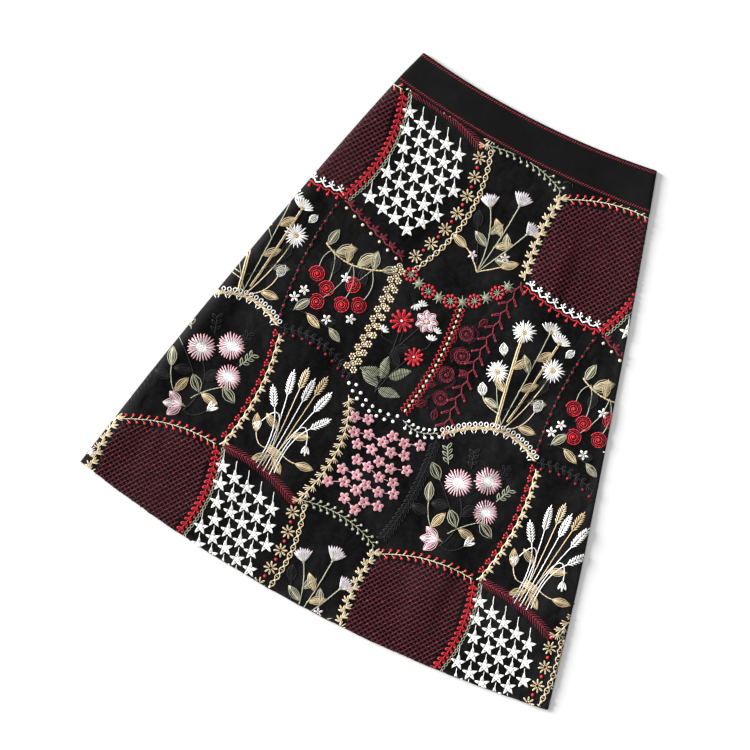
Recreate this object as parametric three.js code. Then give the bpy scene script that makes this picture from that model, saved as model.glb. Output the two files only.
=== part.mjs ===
// Embroidered skirt, laid flat on its back: two cotton panels and a firm waistband in two halves.
// Millimetres. +Z is up, +Y points to the waist, +X to the right seen from above. The origin is on the
// surface that the skirt lies on, under the middle of its outline.
import * as THREE from 'three';

// Cloth and how the layers lie
const CLOTH = 1.2; // embroidered cotton
const BAND = 2.4; // waistband, a firm cloth folded double
const SEAM = 0.3; // space between pieces where they are sewn or lie on each other
const BACK_TOP = CLOTH; // upper face of the back panel
const FRONT_REST = BACK_TOP + SEAM; // lowest that the inside of the front panel lies

// Soft roll where the front panel turns down to the side seams
const ROLL = 7; // how far in from the side it reaches the top
const SIDE_RISE = 1.3; // how much higher the cloth stands along the sides
const SIDE_REACH = 42; // how far in that fullness dies away
const BASE_RISE = 0.45; // air under the front panel where it lies flattest
const BAND_RISE = 1.35; // the panel's top edge stands up to the middle of the waistband
const BAND_REACH = 34; // how far below the seam that dies away
const BAND_EDGE = 6; // soft edge at each side of the waistband
const BACK_EDGE = 2.2; // soft lower edge at each side of the back panel

// The outline, a row for each level from the waist to the hem. Each has the left and right edge of the laid
// skirt, and how far the level hangs below a straight line between them in the middle.
const LEVELS = [
  { name: 'waist', leftX: -182, leftY: 325, rightX: 131.5, rightY: 330, sag: 12 },
  { name: 'seam', leftX: -195, leftY: 282, rightX: 148, rightY: 280, sag: 12 },
  { name: 'hip', leftX: -219, leftY: 186, rightX: 178.5, rightY: 185, sag: 14 },
  { name: 'thigh', leftX: -251, leftY: 42, rightX: 222.5, rightY: 41, sag: 18 },
  { name: 'knee', leftX: -290, leftY: -149, rightX: 279, rightY: -151, sag: 24 },
  { name: 'hem', leftX: -317.5, leftY: -300, rightX: 317.5, rightY: -302, sag: 29 },
];
const SEAM_LEVEL = 1;
const HEM_LEVEL = LEVELS.length - 1;

// Soft ridges of the front panel: where each crest starts, is halfway and ends, its rise, and how far it
// spreads to the left and to the right. The last column is how far it takes to fade at each end.
const RIDGES = [
  { topY: 270, topX: -70, midX: -122, endX: -146, endY: -335, rise: 2.3, left: 44, right: 21, fade: 120 },
  { topY: 60, topX: -72, midX: -62, endX: -50, endY: -190, rise: 1.1, left: 26, right: 18, fade: 70 },
  { topY: 40, topX: -16, midX: -5, endX: -16, endY: -270, rise: 1.7, left: 20, right: 46, fade: 70 },
  { topY: 262, topX: 66, midX: 109, endX: 137, endY: -335, rise: 2.75, left: 46, right: 23, fade: 110 },
  { topY: -10, topX: 188, midX: 198, endX: 207, endY: -250, rise: 1.6, left: 34, right: 20, fade: 80 },
  { topY: -30, topX: 246, midX: 262, endX: 280, endY: -300, rise: 1.5, left: 30, right: 26, fade: 70 },
  { topY: 110, topX: -240, midX: -264, endX: -292, endY: -290, rise: 1.7, left: 30, right: 26, fade: 90 },
  { topY: 20, topX: -190, midX: -202, endX: -212, endY: -250, rise: 1.2, left: 40, right: 44, fade: 90 },
  { topY: 262, topX: 12, midX: 20, endX: 36, endY: 60, rise: 0.9, left: 24, right: 34, fade: 60 },
  { topY: 262, topX: -142, midX: -152, endX: -166, endY: 120, rise: 0.8, left: 30, right: 22, fade: 60 },
];

// How finely each piece is divided
const ROLL_STEPS = 4;
const FRONT_ACROSS = 46;
const FRONT_DOWN = 30;
const BACK_ACROSS = 26;
const BACK_DOWN = 16;
const EDGE_STEPS = 3;
const BAND_ACROSS = 26;
const BAND_DOWN = 3;
const PROBE = 0.01; // step, in divisions, that the normals are worked out over

const PANEL_BLACK = 0x1d1c1e;
const BAND_BLACK = 0x1a1a1a;

const lerp = THREE.MathUtils.lerp;
const clamp = THREE.MathUtils.clamp;

// A row beyond an end of the outline, carried on in a straight line.
function beyond(end, next) {
  const columns = ['leftX', 'leftY', 'rightX', 'rightY', 'sag'];
  return Object.fromEntries(columns.map((column) => [column, 2 * end[column] - next[column]]));
}
const TRACK = [beyond(LEVELS[0], LEVELS[1]), ...LEVELS, beyond(LEVELS.at(-1), LEVELS.at(-2))];

// A smooth value between the rows of the outline, at a level that may lie between two of them.
function atLevel(level, column) {
  const first = clamp(Math.floor(level), 0, HEM_LEVEL - 1);
  const [before, from, to, after] = TRACK.slice(first, first + 4);
  const slope = (a, b) => (b[column] - a[column]) / (b.leftY - a.leftY) * (to.leftY - from.leftY);
  const share = level - first;
  const ease = share * share * (3 - 2 * share);
  const leave = share * (1 - share) * (1 - share);
  const arrive = share * share * (share - 1);
  return lerp(from[column], to[column], ease) + leave * slope(before, to) + arrive * slope(from, after);
}

// The level that lies a given share of the way down the left side, between two rows of the table.
function levelDown(fromRow, toRow, share) {
  const target = lerp(LEVELS[fromRow].leftY, LEVELS[toRow].leftY, share);
  let row = fromRow;
  while (row < toRow - 1 && LEVELS[row + 1].leftY > target) row += 1;
  return row + (LEVELS[row].leftY - target) / (LEVELS[row].leftY - LEVELS[row + 1].leftY);
}

// One level of the laid skirt: its ends, its width and a point a given distance in from the left end.
function levelLine(level, inset) {
  const leftX = atLevel(level, 'leftX') + inset;
  const rightX = atLevel(level, 'rightX') - inset;
  const leftY = atLevel(level, 'leftY');
  const rightY = atLevel(level, 'rightY');
  const sag = atLevel(level, 'sag');
  const width = rightX - leftX;
  return {
    width,
    point(inward) {
      const across = inward / width;
      return { x: leftX + inward, y: lerp(leftY, rightY, across) - sag * 4 * across * (1 - across) };
    },
  };
}

// A soft bump: 1 in the middle, falling to 0 at the given distance.
function bump(distance, reach) {
  return Math.abs(distance) >= reach ? 0 : 0.5 * (1 + Math.cos(Math.PI * distance / reach));
}

// Height that one ridge adds at a point of the front panel.
function ridgeRise(ridge, x, y) {
  const share = (ridge.topY - y) / (ridge.topY - ridge.endY);
  const crest = ridge.topX * (1 - share) * (1 - 2 * share) + ridge.midX * 4 * share * (1 - share)
    + ridge.endX * share * (2 * share - 1);
  const fromEnds = Math.min(ridge.topY - y, y - ridge.endY);
  if (fromEnds <= 0) return 0;
  const across = bump(x - crest, x < crest ? ridge.left : ridge.right);
  return ridge.rise * across * THREE.MathUtils.smoothstep(fromEnds, 0, ridge.fade);
}

// Air between the two panels under a point of the front one.
function frontRise(x, y, fromSide, fromSeam) {
  let rise = BASE_RISE + SIDE_RISE * bump(Math.max(fromSide - ROLL, 0), SIDE_REACH);
  rise += BAND_RISE * bump(fromSeam, BAND_REACH);
  const settled = 1 - bump(fromSeam, BAND_REACH);
  for (const ridge of RIDGES) rise += settled * ridgeRise(ridge, x, y);
  return rise;
}

// A column's distance in from the left end, with a few close columns round the soft edge at each side.
function inwardAt(column, edgeSteps, across, edge, width) {
  const quarter = (steps) => edge * (1 - Math.cos(steps / edgeSteps * Math.PI / 2));
  const last = 2 * edgeSteps + across;
  if (column < edgeSteps) return quarter(column);
  if (column > last - edgeSteps) return width - quarter(last - column);
  return lerp(edge, width - edge, (column - edgeSteps) / across);
}

// How far round the soft edge a column lies: 0 at the side, 1 over the flat of the piece.
function roundAt(column, edgeSteps, across) {
  const fromSide = Math.min(column, 2 * edgeSteps + across - column);
  return Math.sin(Math.min(fromSide / edgeSteps, 1) * Math.PI / 2);
}

// How far a panel's points are moved down: its top edge is clear of the waistband, and its hem isn't moved.
function seamClear(row, rows) {
  return SEAM * (1 - row / rows);
}

// A closed wall between an upper and a lower grid of points that have the same rows and columns.
function wall(name, columns, rows, upper, lower, colour) {
  const positions = [];
  for (const surface of [upper, lower]) {
    for (let row = 0; row <= rows; row += 1) {
      for (let column = 0; column <= columns; column += 1) positions.push(...surface(column, row).toArray());
    }
  }
  const layer = (columns + 1) * (rows + 1);
  const top = (column, row) => row * (columns + 1) + column;
  const under = (column, row) => layer + top(column, row);
  const index = [];
  const quad = (a, b, c, d) => index.push(a, b, c, a, c, d);
  for (let row = 0; row < rows; row += 1) {
    for (let column = 0; column < columns; column += 1) {
      quad(top(column, row), top(column, row + 1), top(column + 1, row + 1), top(column + 1, row));
      quad(under(column, row), under(column + 1, row), under(column + 1, row + 1), under(column, row + 1));
    }
  }
  const border = [];
  for (let row = 0; row < rows; row += 1) border.push([0, row]);
  for (let column = 0; column < columns; column += 1) border.push([column, rows]);
  for (let row = rows; row > 0; row -= 1) border.push([columns, row]);
  for (let column = columns; column > 0; column -= 1) border.push([column, 0]);
  border.forEach((here, place) => {
    const next = border[(place + 1) % border.length];
    quad(top(...here), under(...here), under(...next), top(...next));
  });
  const geometry = new THREE.BufferGeometry();
  geometry.setAttribute('position', new THREE.Float32BufferAttribute(positions, 3));
  geometry.setIndex(index);
  geometry.computeVertexNormals();
  const material = new THREE.MeshStandardMaterial({ color: colour, roughness: 0.9, metalness: 0 });
  const mesh = new THREE.Mesh(geometry, material);
  mesh.name = name;
  return mesh;
}

// Front panel: its inside lies over the back panel on the ridges, and its outside is one cloth further out.
function frontPanel() {
  const columns = FRONT_ACROSS + 2 * ROLL_STEPS;
  const seam = levelLine(SEAM_LEVEL, CLOTH);
  const inside = (column, row) => {
    const line = levelLine(levelDown(SEAM_LEVEL, HEM_LEVEL, row / FRONT_DOWN), CLOTH);
    const inward = inwardAt(column, ROLL_STEPS, FRONT_ACROSS, ROLL, line.width);
    const { x, y } = line.point(inward);
    const fromSide = Math.min(inward, line.width - inward);
    const fromSeam = seam.point(inward / line.width * seam.width).y - y;
    const rise = frontRise(x, y, fromSide, fromSeam) * roundAt(column, ROLL_STEPS, FRONT_ACROSS);
    return new THREE.Vector3(x, y - seamClear(row, FRONT_DOWN), FRONT_REST + rise);
  };
  const outside = (column, row) => {
    const across = inside(Math.min(column + PROBE, columns), row)
      .sub(inside(Math.max(column - PROBE, 0), row));
    const down = inside(column, Math.min(row + PROBE, FRONT_DOWN))
      .sub(inside(column, Math.max(row - PROBE, 0)));
    const normal = down.cross(across).normalize();
    return inside(column, row).addScaledVector(normal, CLOTH);
  };
  return wall('front_panel', columns, FRONT_DOWN, outside, inside, PANEL_BLACK);
}

// Back panel: flat where it rests, with a soft lower edge along each side.
function backPanel() {
  const columns = BACK_ACROSS + 2 * EDGE_STEPS;
  const surface = (column, row, height) => {
    const line = levelLine(levelDown(SEAM_LEVEL, HEM_LEVEL, row / BACK_DOWN), 0);
    const inward = inwardAt(column, EDGE_STEPS, BACK_ACROSS, BACK_EDGE, line.width);
    const { x, y } = line.point(inward);
    return new THREE.Vector3(x, y - seamClear(row, BACK_DOWN), height);
  };
  const top = (column, row) => surface(column, row, BACK_TOP);
  const soft = (column) => BACK_TOP * (1 - roundAt(column, EDGE_STEPS, BACK_ACROSS));
  const under = (column, row) => surface(column, row, Math.min(soft(column), BACK_TOP - SEAM));
  return wall('back_panel', columns, BACK_DOWN, top, under, PANEL_BLACK);
}

// One half of the waistband, a firm strip. One face is flat, where the halves lie on each other, and the
// other turns in at the ends.
function bandHalf(name, flatFace, softFace) {
  const columns = BAND_ACROSS + 2 * EDGE_STEPS;
  const surface = (column, row, height) => {
    const line = levelLine(levelDown(0, SEAM_LEVEL, row / BAND_DOWN), 0);
    const { x, y } = line.point(inwardAt(column, EDGE_STEPS, BAND_ACROSS, BAND_EDGE, line.width));
    return new THREE.Vector3(x, y, height);
  };
  const softness = (column) => Math.max(roundAt(column, EDGE_STEPS, BAND_ACROSS), SEAM / BAND);
  const flat = (column, row) => surface(column, row, flatFace);
  const soft = (column, row) => surface(column, row, lerp(flatFace, softFace, softness(column)));
  const [upper, lower] = softFace > flatFace ? [soft, flat] : [flat, soft];
  return wall(name, columns, BAND_DOWN, upper, lower, BAND_BLACK);
}

const skirt = new THREE.Group();
skirt.name = 'embroidered_skirt';
skirt.add(
  frontPanel(),
  backPanel(),
  bandHalf('front_waistband', BAND + SEAM, 2 * BAND + SEAM),
  bandHalf('back_waistband', BAND, 0),
);

export default skirt;
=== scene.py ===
"""Dresses the embroidered skirt: cloth, waistband, embroidery, floor, light and camera.

The cloth is drafted in millimetres, as a maker would, and turned to metres where a mesh is made.
"""

import cmath
import logging
import math
import random
from dataclasses import dataclass, field
from enum import Enum
from typing import Protocol, Sequence

import bpy
import numpy as np
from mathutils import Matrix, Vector


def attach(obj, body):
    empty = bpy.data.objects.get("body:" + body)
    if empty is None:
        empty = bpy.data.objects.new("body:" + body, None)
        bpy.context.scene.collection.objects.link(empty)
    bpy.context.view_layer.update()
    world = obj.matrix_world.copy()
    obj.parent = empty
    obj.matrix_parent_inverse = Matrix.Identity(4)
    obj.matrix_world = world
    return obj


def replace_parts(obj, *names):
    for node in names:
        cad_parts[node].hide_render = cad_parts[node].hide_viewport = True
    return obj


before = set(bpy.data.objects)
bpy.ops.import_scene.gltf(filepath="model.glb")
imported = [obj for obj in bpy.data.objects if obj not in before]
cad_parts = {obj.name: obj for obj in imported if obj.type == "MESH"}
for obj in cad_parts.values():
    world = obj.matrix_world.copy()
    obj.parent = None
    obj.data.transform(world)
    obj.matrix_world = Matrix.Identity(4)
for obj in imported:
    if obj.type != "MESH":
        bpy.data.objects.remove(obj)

log = logging.getLogger("skirt")

MM = 0.001
ROOT = "root"
TINY = 1e-9
Array = np.ndarray
Colour = tuple[float, float, float]


class Slot(str, Enum):
    """Material slots of the record."""

    COTTON = "embroidered_cotton"
    BAND = "waistband_cloth"
    EMBROIDERY = "embroidery_thread"
    SEWING = "sewing_thread"


class Thread(Enum):
    """Colours of thread on the skirt."""

    WHITE = "white"
    CREAM = "cream"
    TAN = "tan"
    RED = "red"
    ROSE = "rose"
    BURGUNDY = "burgundy"
    WINE = "wine"
    PINK = "pink"
    LILAC = "lilac"
    SAGE = "sage"
    BLACK = "black"
    SEWING = "sewing"


def from_screen(red: int, green: int, blue: int) -> Colour:
    """Turns a colour as seen on a screen into a linear one.

    Args:
        red: 0 to 255.
        green: 0 to 255.
        blue: 0 to 255.

    Returns:
        The linear colour, 0 to 1 each.
    """
    def linear(value: int) -> float:
        """One channel, made linear."""
        share = value / 255
        return share / 12.92 if share <= 0.04045 else ((share + 0.055) / 1.055) ** 2.4

    return linear(red), linear(green), linear(blue)


# Layers of the laid skirt


@dataclass(frozen=True)
class Layers:
    """How thick the cloth is and how the layers lie, in millimetres."""

    cloth: float = 1.2
    band: float = 2.4
    seam: float = 0.3
    roll: float = 7.0
    side_rise: float = 1.3
    side_reach: float = 42.0
    base_rise: float = 0.45
    band_rise: float = 1.35
    band_reach: float = 34.0
    band_edge: float = 6.0
    back_edge: float = 2.2

    @property
    def front_rest(self) -> float:
        """Lowest that the inside of the front panel lies."""
        return self.cloth + self.seam


@dataclass(frozen=True)
class Level:
    """One level of the outline: its ends, and how far it hangs in the middle."""

    left_x: float
    left_y: float
    right_x: float
    right_y: float
    sag: float


@dataclass(frozen=True)
class Ridge:
    """A soft ridge of the front panel.

    The crest runs through three places across, at its start, halfway and at its end.
    """

    top_y: float
    top_x: float
    mid_x: float
    end_x: float
    end_y: float
    rise: float
    left: float
    right: float
    fade: float


LAYERS = Layers()
LEVELS = (
    Level(-182, 325, 131.5, 330, 12),
    Level(-195, 282, 148, 280, 12),
    Level(-219, 186, 178.5, 185, 14),
    Level(-251, 42, 222.5, 41, 18),
    Level(-290, -149, 279, -151, 24),
    Level(-317.5, -300, 317.5, -302, 29),
)
SEAM_LEVEL = 1.0
HEM_LEVEL = len(LEVELS) - 1.0
RIDGES = (
    Ridge(270, -70, -122, -146, -335, 2.3, 44, 21, 120),
    Ridge(60, -72, -62, -50, -190, 1.1, 26, 18, 70),
    Ridge(40, -16, -5, -16, -270, 1.7, 20, 46, 70),
    Ridge(262, 66, 109, 137, -335, 2.75, 46, 23, 110),
    Ridge(-10, 188, 198, 207, -250, 1.6, 34, 20, 80),
    Ridge(-30, 246, 262, 280, -300, 1.5, 30, 26, 70),
    Ridge(110, -240, -264, -292, -290, 1.7, 30, 26, 90),
    Ridge(20, -190, -202, -212, -250, 1.2, 40, 44, 90),
    Ridge(262, 12, 20, 36, 60, 0.9, 24, 34, 60),
    Ridge(262, -142, -152, -166, 120, 0.8, 30, 22, 60),
)


@dataclass(frozen=True)
class Puckers:
    """Small waves between the stitches, a broad and a fine kind, and how a crease bends."""

    broad: float = 0.26
    broad_pitch: tuple[float, float] = (9.1, 12.7)
    drift: tuple[float, float] = (1.7, 1.4)
    drift_pitch: tuple[float, float] = (23.1, 17.3)
    fine: float = 0.14
    fine_pitch: tuple[float, float] = (5.3, 11.9)
    fine_drift: tuple[float, float] = (19.0, 7.7)
    bends: float = 5.0
    bend: float = 0.3
    half: float = 0.62


@dataclass(frozen=True)
class Crease:
    """A short soft crease: a ridge if it stands proud, a trough if it doesn't."""

    start_x: float
    start_y: float
    end_x: float
    end_y: float
    depth: float
    reach: float


CREASES = tuple(Crease(*row) for row in (
    (-150, 236, -196, 150, 0.5, 8), (-96, 250, -104, 176, -0.45, 7), (-20, 262, 18, 190, 0.45, 9),
    (34, 250, 66, 172, -0.5, 8), (118, 262, 96, 196, 0.4, 7), (-210, 110, -188, 22, 0.55, 9),
    (-132, 120, -92, 52, -0.45, 8), (-58, 140, -84, 66, 0.4, 7), (26, 120, 72, 64, 0.45, 9),
    (142, 132, 176, 40, -0.5, 8), (186, 96, 214, 4, 0.55, 9), (-246, -20, -228, -112, -0.5, 8),
    (-168, 10, -130, -66, 0.5, 8), (-90, -30, -44, -96, 0.45, 8), (22, -20, 8, -104, -0.45, 8),
    (84, 6, 128, -70, 0.5, 9), (226, -40, 246, -130, 0.5, 8), (-276, -170, -238, -262, 0.5, 9),
    (-184, -150, -196, -244, -0.45, 8), (-104, -160, -70, -252, 0.5, 9), (-6, -180, 34, -262, 0.45, 8),
    (98, -140, 84, -236, -0.5, 9), (158, -170, 190, -262, 0.5, 8), (252, -190, 282, -270, 0.45, 8),
    (-40, 30, 24, 44, 0.35, 6), (150, -110, 214, -96, 0.35, 6), (-220, -96, -160, -84, 0.35, 6),
    (40, -118, 96, -128, 0.3, 6), (-130, 200, -76, 214, 0.3, 6), (84, 214, 128, 226, 0.3, 6),
))


def creased(x: Array, y: Array, flip: float = 1.0) -> Array:
    """How far the small creases and puckers lift the cloth.

    Args:
        x: Places across.
        y: Places up the page.
        flip: Minus 1 for the creases in mirror image.

    Returns:
        The lift, which is less than 0 in a trough.
    """
    x, waves = x * flip, Puckers()
    warp = np.sin(x / waves.broad_pitch[0] + np.sin(y / waves.drift_pitch[1]) * waves.drift[0])
    weft = np.sin(y / waves.broad_pitch[1] + np.sin(x / waves.drift_pitch[0]) * waves.drift[1])
    slant = np.sin(x / waves.fine_pitch[0] - y / waves.fine_pitch[1])
    counter = np.sin(y / waves.fine_drift[1] + x / waves.fine_drift[0])
    lift = waves.broad * (warp * weft) + waves.fine * slant * counter
    for crease in CREASES:
        way = np.array([crease.end_x - crease.start_x, crease.end_y - crease.start_y])
        length = float(np.hypot(*way))
        from_x, from_y = x - crease.start_x, y - crease.start_y
        along = (from_x * way[0] + from_y * way[1]) / length ** 2
        bend = np.sin(along * waves.bends) * crease.reach * waves.bend
        aside = (from_x * way[1] - from_y * way[0]) / length + bend
        lift = lift + crease.depth * bump(aside, crease.reach) * bump(along - 0.5, waves.half)
    return lift


def bump(distance: Array, reach: float) -> Array:
    """A soft bump: 1 in the middle, falling to 0 at the given distance."""
    return np.where(np.abs(distance) >= reach, 0.0, 0.5 * (1 + np.cos(np.pi * distance / reach)))


def ease(share: Array) -> Array:
    """A smooth step from 0 to 1."""
    share = np.clip(share, 0, 1)
    return share * share * (3 - 2 * share)


class Outline:
    """The outline of the laid skirt, smooth between its levels."""

    rounds = 4

    def __init__(self, levels: Sequence[Level]) -> None:
        """Keeps the levels as columns, with one carried on beyond each end.

        Args:
            levels: The levels, from the waist down.
        """
        rows = np.array([[l.left_x, l.left_y, l.right_x, l.right_y, l.sag] for l in levels], dtype=float)
        self.track = np.vstack([2 * rows[0] - rows[1], rows, 2 * rows[-1] - rows[-2]])
        self.left_y = rows[:, 1]

    def at(self, level: Array) -> Array:
        """The outline's columns at levels that may lie between two rows.

        Args:
            level: The levels, counted from the waist.

        Returns:
            An array with left x, left y, right x, right y and sag in its last axis.
        """
        level = np.asarray(level, dtype=float)
        first = np.clip(np.floor(level), 0, len(self.left_y) - 2).astype(int)
        share = (level - first)[..., None]
        before, start, end, after = (self.track[first + step] for step in range(4))
        span = (end - start)[..., 1:2]
        leave = (end - before) / (end - before)[..., 1:2] * span
        arrive = (after - start) / (after - start)[..., 1:2] * span
        step = ease(share)
        return (start + (end - start) * step + share * (1 - share) ** 2 * leave
                + share * share * (share - 1) * arrive)

    @staticmethod
    def height(row: Array, across: Array) -> Array:
        """Height on the page at a share of the way across a row, which hangs in its middle."""
        return row[..., 1] + (row[..., 3] - row[..., 1]) * across - row[..., 4] * 4 * across * (1 - across)

    def level_down(self, start: float, end: float, share: Array) -> Array:
        """The levels at shares of the way down the left side between two levels."""
        top, foot = np.interp([start, end], np.arange(len(self.left_y)), self.left_y)
        return self.level_of(top + (foot - top) * np.asarray(share, dtype=float))

    def level_of(self, left_y: Array) -> Array:
        """The level whose left end lies at a height on the page."""
        return np.interp(-np.asarray(left_y), -self.left_y, np.arange(len(self.left_y)))

    def find(self, x: Array, y: Array) -> tuple[Array, Array]:
        """Where points of the page lie in the outline.

        Args:
            x: Places across.
            y: Places up the page.

        Returns:
            How far in they are from the left and from the right side.
        """
        level = self.level_of(y)
        for _ in range(self.rounds):
            row = self.at(level)
            across = np.clip((x - row[..., 0]) / (row[..., 2] - row[..., 0]), 0, 1)
            tilt = across * (row[..., 3] - row[..., 1])
            level = self.level_of(y + row[..., 4] * 4 * across * (1 - across) - tilt)
        row = self.at(level)
        return x - row[..., 0], row[..., 2] - x

    def page(self, level: Array, inward: Array, inset: float = 0.0) -> tuple[Array, Array]:
        """The point of a level a given distance in from its left end.

        Args:
            level: The levels.
            inward: How far in each point lies.
            inset: How far inside the outline it starts.

        Returns:
            Places across and up the page.
        """
        row = self.at(level)
        left, right = row[..., 0] + inset, row[..., 2] - inset
        return left + inward, self.height(row, inward / (right - left))

    def width(self, level: Array, inset: float = 0.0) -> Array:
        """How wide the laid skirt is at a level."""
        row = self.at(level)
        return row[..., 2] - row[..., 0] - 2 * inset


OUTLINE = Outline(LEVELS)


def quarter_round(inward: Array, edge: float) -> Array:
    """How far round a soft edge a place lies: 0 at the side, 1 over the flat."""
    share = np.clip(inward / edge, 0, 1)
    return np.sqrt(np.clip(1 - (1 - share) ** 2, 0, 1))


class Form(Protocol):
    """The laid form of a piece of cloth."""

    def lay(self, x: Array, y: Array, height: Array) -> Array:
        """Points of the piece, in millimetres, for places on its cloth and heights above it."""

    def holds(self, x: Array, y: Array) -> Array:
        """True where a place on the cloth lies on this piece."""


@dataclass(frozen=True)
class FrontForm:
    """The front panel as it lies over the back one."""

    layers: Layers = LAYERS
    face: float = 0.92
    probe: float = 0.35
    quiet: float = 12.0
    clear_side: float = 0.02
    clear_top: float = 0.9
    clear_hem: float = 0.25

    def inside(self, x: Array, y: Array) -> Array:
        """Height of the panel's inside over the table.

        Args:
            x: Places across.
            y: Places up the page.

        Returns:
            The height of its inside at each place.
        """
        layers = self.layers
        left, right = OUTLINE.find(x, y)
        from_side = np.clip(np.minimum(left, right) - layers.cloth, 0, None)
        seam = OUTLINE.at(np.full_like(x, SEAM_LEVEL))
        across = np.clip(left / (left + right), 0, 1)
        near_band = bump(OUTLINE.height(seam, across) - y, layers.band_reach)
        rise = layers.base_rise + layers.side_rise * bump(
            np.clip(from_side - layers.roll, 0, None), layers.side_reach)
        rise = rise + layers.band_rise * near_band
        for ridge in RIDGES:
            rise = rise + (1 - near_band) * self.ridge_rise(ridge, x, y)
        flat = bump(np.clip(self.quiet - from_side, 0, None), self.quiet) * (1 - near_band)
        rise = np.maximum(rise + creased(x, y) * flat, 0)
        return layers.front_rest + rise * quarter_round(from_side, layers.roll)

    @staticmethod
    def ridge_rise(ridge: Ridge, x: Array, y: Array) -> Array:
        """Height that one ridge adds.

        Args:
            ridge: The ridge.
            x: Places across.
            y: Places up the page.

        Returns:
            The height at each place.
        """
        share = (ridge.top_y - y) / (ridge.top_y - ridge.end_y)
        crest = (ridge.top_x * (1 - share) * (1 - 2 * share) + ridge.mid_x * 4 * share * (1 - share)
                 + ridge.end_x * share * (2 * share - 1))
        aside = x - crest
        across = np.where(aside < 0, bump(aside, ridge.left), bump(aside, ridge.right))
        return ridge.rise * across * ease(np.minimum(ridge.top_y - y, y - ridge.end_y) / ridge.fade)

    def lay(self, x: Array, y: Array, height: Array) -> Array:
        """Points over the panel's outer face.

        Args:
            x: Places across.
            y: Places up the page.
            height: Heights over its face.

        Returns:
            Points in millimetres, with x, y and z in the last axis.
        """
        left, right = OUTLINE.find(x, y)
        edge = self.layers.cloth + self.clear_side
        x = x + np.clip(edge - left, 0, None) - np.clip(edge - right, 0, None)
        step = self.probe
        rest = self.inside(x, y)
        slope_x = (self.inside(x + step, y) - self.inside(x - step, y)) / (2 * step)
        slope_y = (self.inside(x, y + step) - self.inside(x, y - step)) / (2 * step)
        length = np.sqrt(1 + slope_x ** 2 + slope_y ** 2)
        out = self.face + height
        return np.stack([x - slope_x / length * out, y - slope_y / length * out, rest + out / length],
                        axis=-1)

    def holds(self, x: Array, y: Array) -> Array:
        """True on the panel, clear of the waistband and the hem's edge.

        Args:
            x: Places across.
            y: Places up the page.

        Returns:
            A yes or no for each place.
        """
        left, right = OUTLINE.find(x, y)
        inset = self.layers.cloth
        return (left >= inset) & (right >= inset) & on_panel(x, y, self.clear_top, self.clear_hem)


@dataclass(frozen=True)
class BackForm:
    """The back panel, which the skirt rests on. Its cloth runs the other way across."""

    layers: Layers = LAYERS
    face: float = 0.46
    press: float = 0.55
    most: float = 0.43
    trough: float = 0.8
    shallow: float = 0.06
    deepest: float = 0.5
    quiet: float = 12.0
    clear_side: float = 0.5
    clear_top: float = 0.9
    clear_hem: float = 0.25

    def lay(self, x: Array, y: Array, height: Array) -> Array:
        """Points under the panel's outer face, which is turned down.

        Args:
            x: Places across.
            y: Places up the page.
            height: Heights over its face.

        Returns:
            Points in millimetres, with x, y and z in the last axis.
        """
        x = -x
        left, right = OUTLINE.find(x, y)
        inward = np.clip(np.minimum(left, right), 0, None)
        turned = quarter_round(inward, self.layers.back_edge)
        side = np.where(left < right, -1.0, 1.0) * np.sqrt(np.clip(1 - turned ** 2, 0, 1))
        out = np.minimum(height * self.press, self.most)
        rest = self.face + (self.layers.cloth - self.layers.seam - self.face) * (1 - turned)
        sunk = np.clip(creased(x, y, -1.0) - self.shallow, 0, self.deepest)
        trough = self.trough * sunk * bump(np.clip(self.quiet - inward, 0, None), self.quiet)
        return np.stack([x + side * out, y, rest + trough - turned * out], axis=-1)

    def holds(self, x: Array, y: Array) -> Array:
        """True on the panel, clear of the waistband and the hem's edge.

        Args:
            x: Places across.
            y: Places up the page.

        Returns:
            A yes or no for each place.
        """
        left, right = OUTLINE.find(-x, y)
        inset = self.clear_side
        return (left >= inset) & (right >= inset) & on_panel(-x, y, self.clear_top, self.clear_hem)


def on_panel(x: Array, y: Array, clear_top: float, clear_hem: float) -> Array:
    """True between the waistband's seam and the hem, each with some clearance.

    Args:
        x: Places across.
        y: Places up the page.
        clear_top: Clearance to the seam.
        clear_hem: Clearance to the hem.

    Returns:
        A yes or no for each place.
    """
    def line(level: float) -> Array:
        """A level's height on the page.

        Args:
            level: The level, counted from the waist.

        Returns:
            Its height at each place across.
        """
        row = OUTLINE.at(np.array(level))
        across = np.clip((x - row[0]) / (row[2] - row[0]), 0, 1)
        return OUTLINE.height(row, across)

    return (y <= line(SEAM_LEVEL) - clear_top) & (y >= line(HEM_LEVEL) + clear_hem)


@dataclass(frozen=True)
class BandForm:
    """One half of the waistband, with its outer face up or down."""

    up: bool
    layers: Layers = LAYERS
    face: float = 0.985
    lift: float = 0.5
    press: float = 0.3
    under_face: float = 0.86
    clear_side: float = 0.4

    def lay(self, x: Array, y: Array, height: Array) -> Array:
        """Points over the outer face of this half.

        Args:
            x: Places across.
            y: Places up the page.
            height: Heights over its face.

        Returns:
            Points in millimetres, with x, y and z in the last axis.
        """
        left, right = OUTLINE.find(x, y)
        inward = np.clip(np.minimum(left, right), 0, None)
        turned = quarter_round(inward, self.layers.band_edge)
        thick = self.layers.band * np.maximum(turned, self.layers.seam / self.layers.band)
        inner = self.layers.band + (self.layers.seam if self.up else 0)
        if self.up:
            return np.stack([x, y, inner + thick * self.face + height * self.lift], axis=-1)
        return np.stack([x, y, inner - thick * self.under_face - height * self.press], axis=-1)

    def holds(self, x: Array, y: Array) -> Array:
        """True on the waistband."""
        left, right = OUTLINE.find(x, y)
        return np.minimum(left, right) >= self.clear_side


# Meshes


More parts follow.
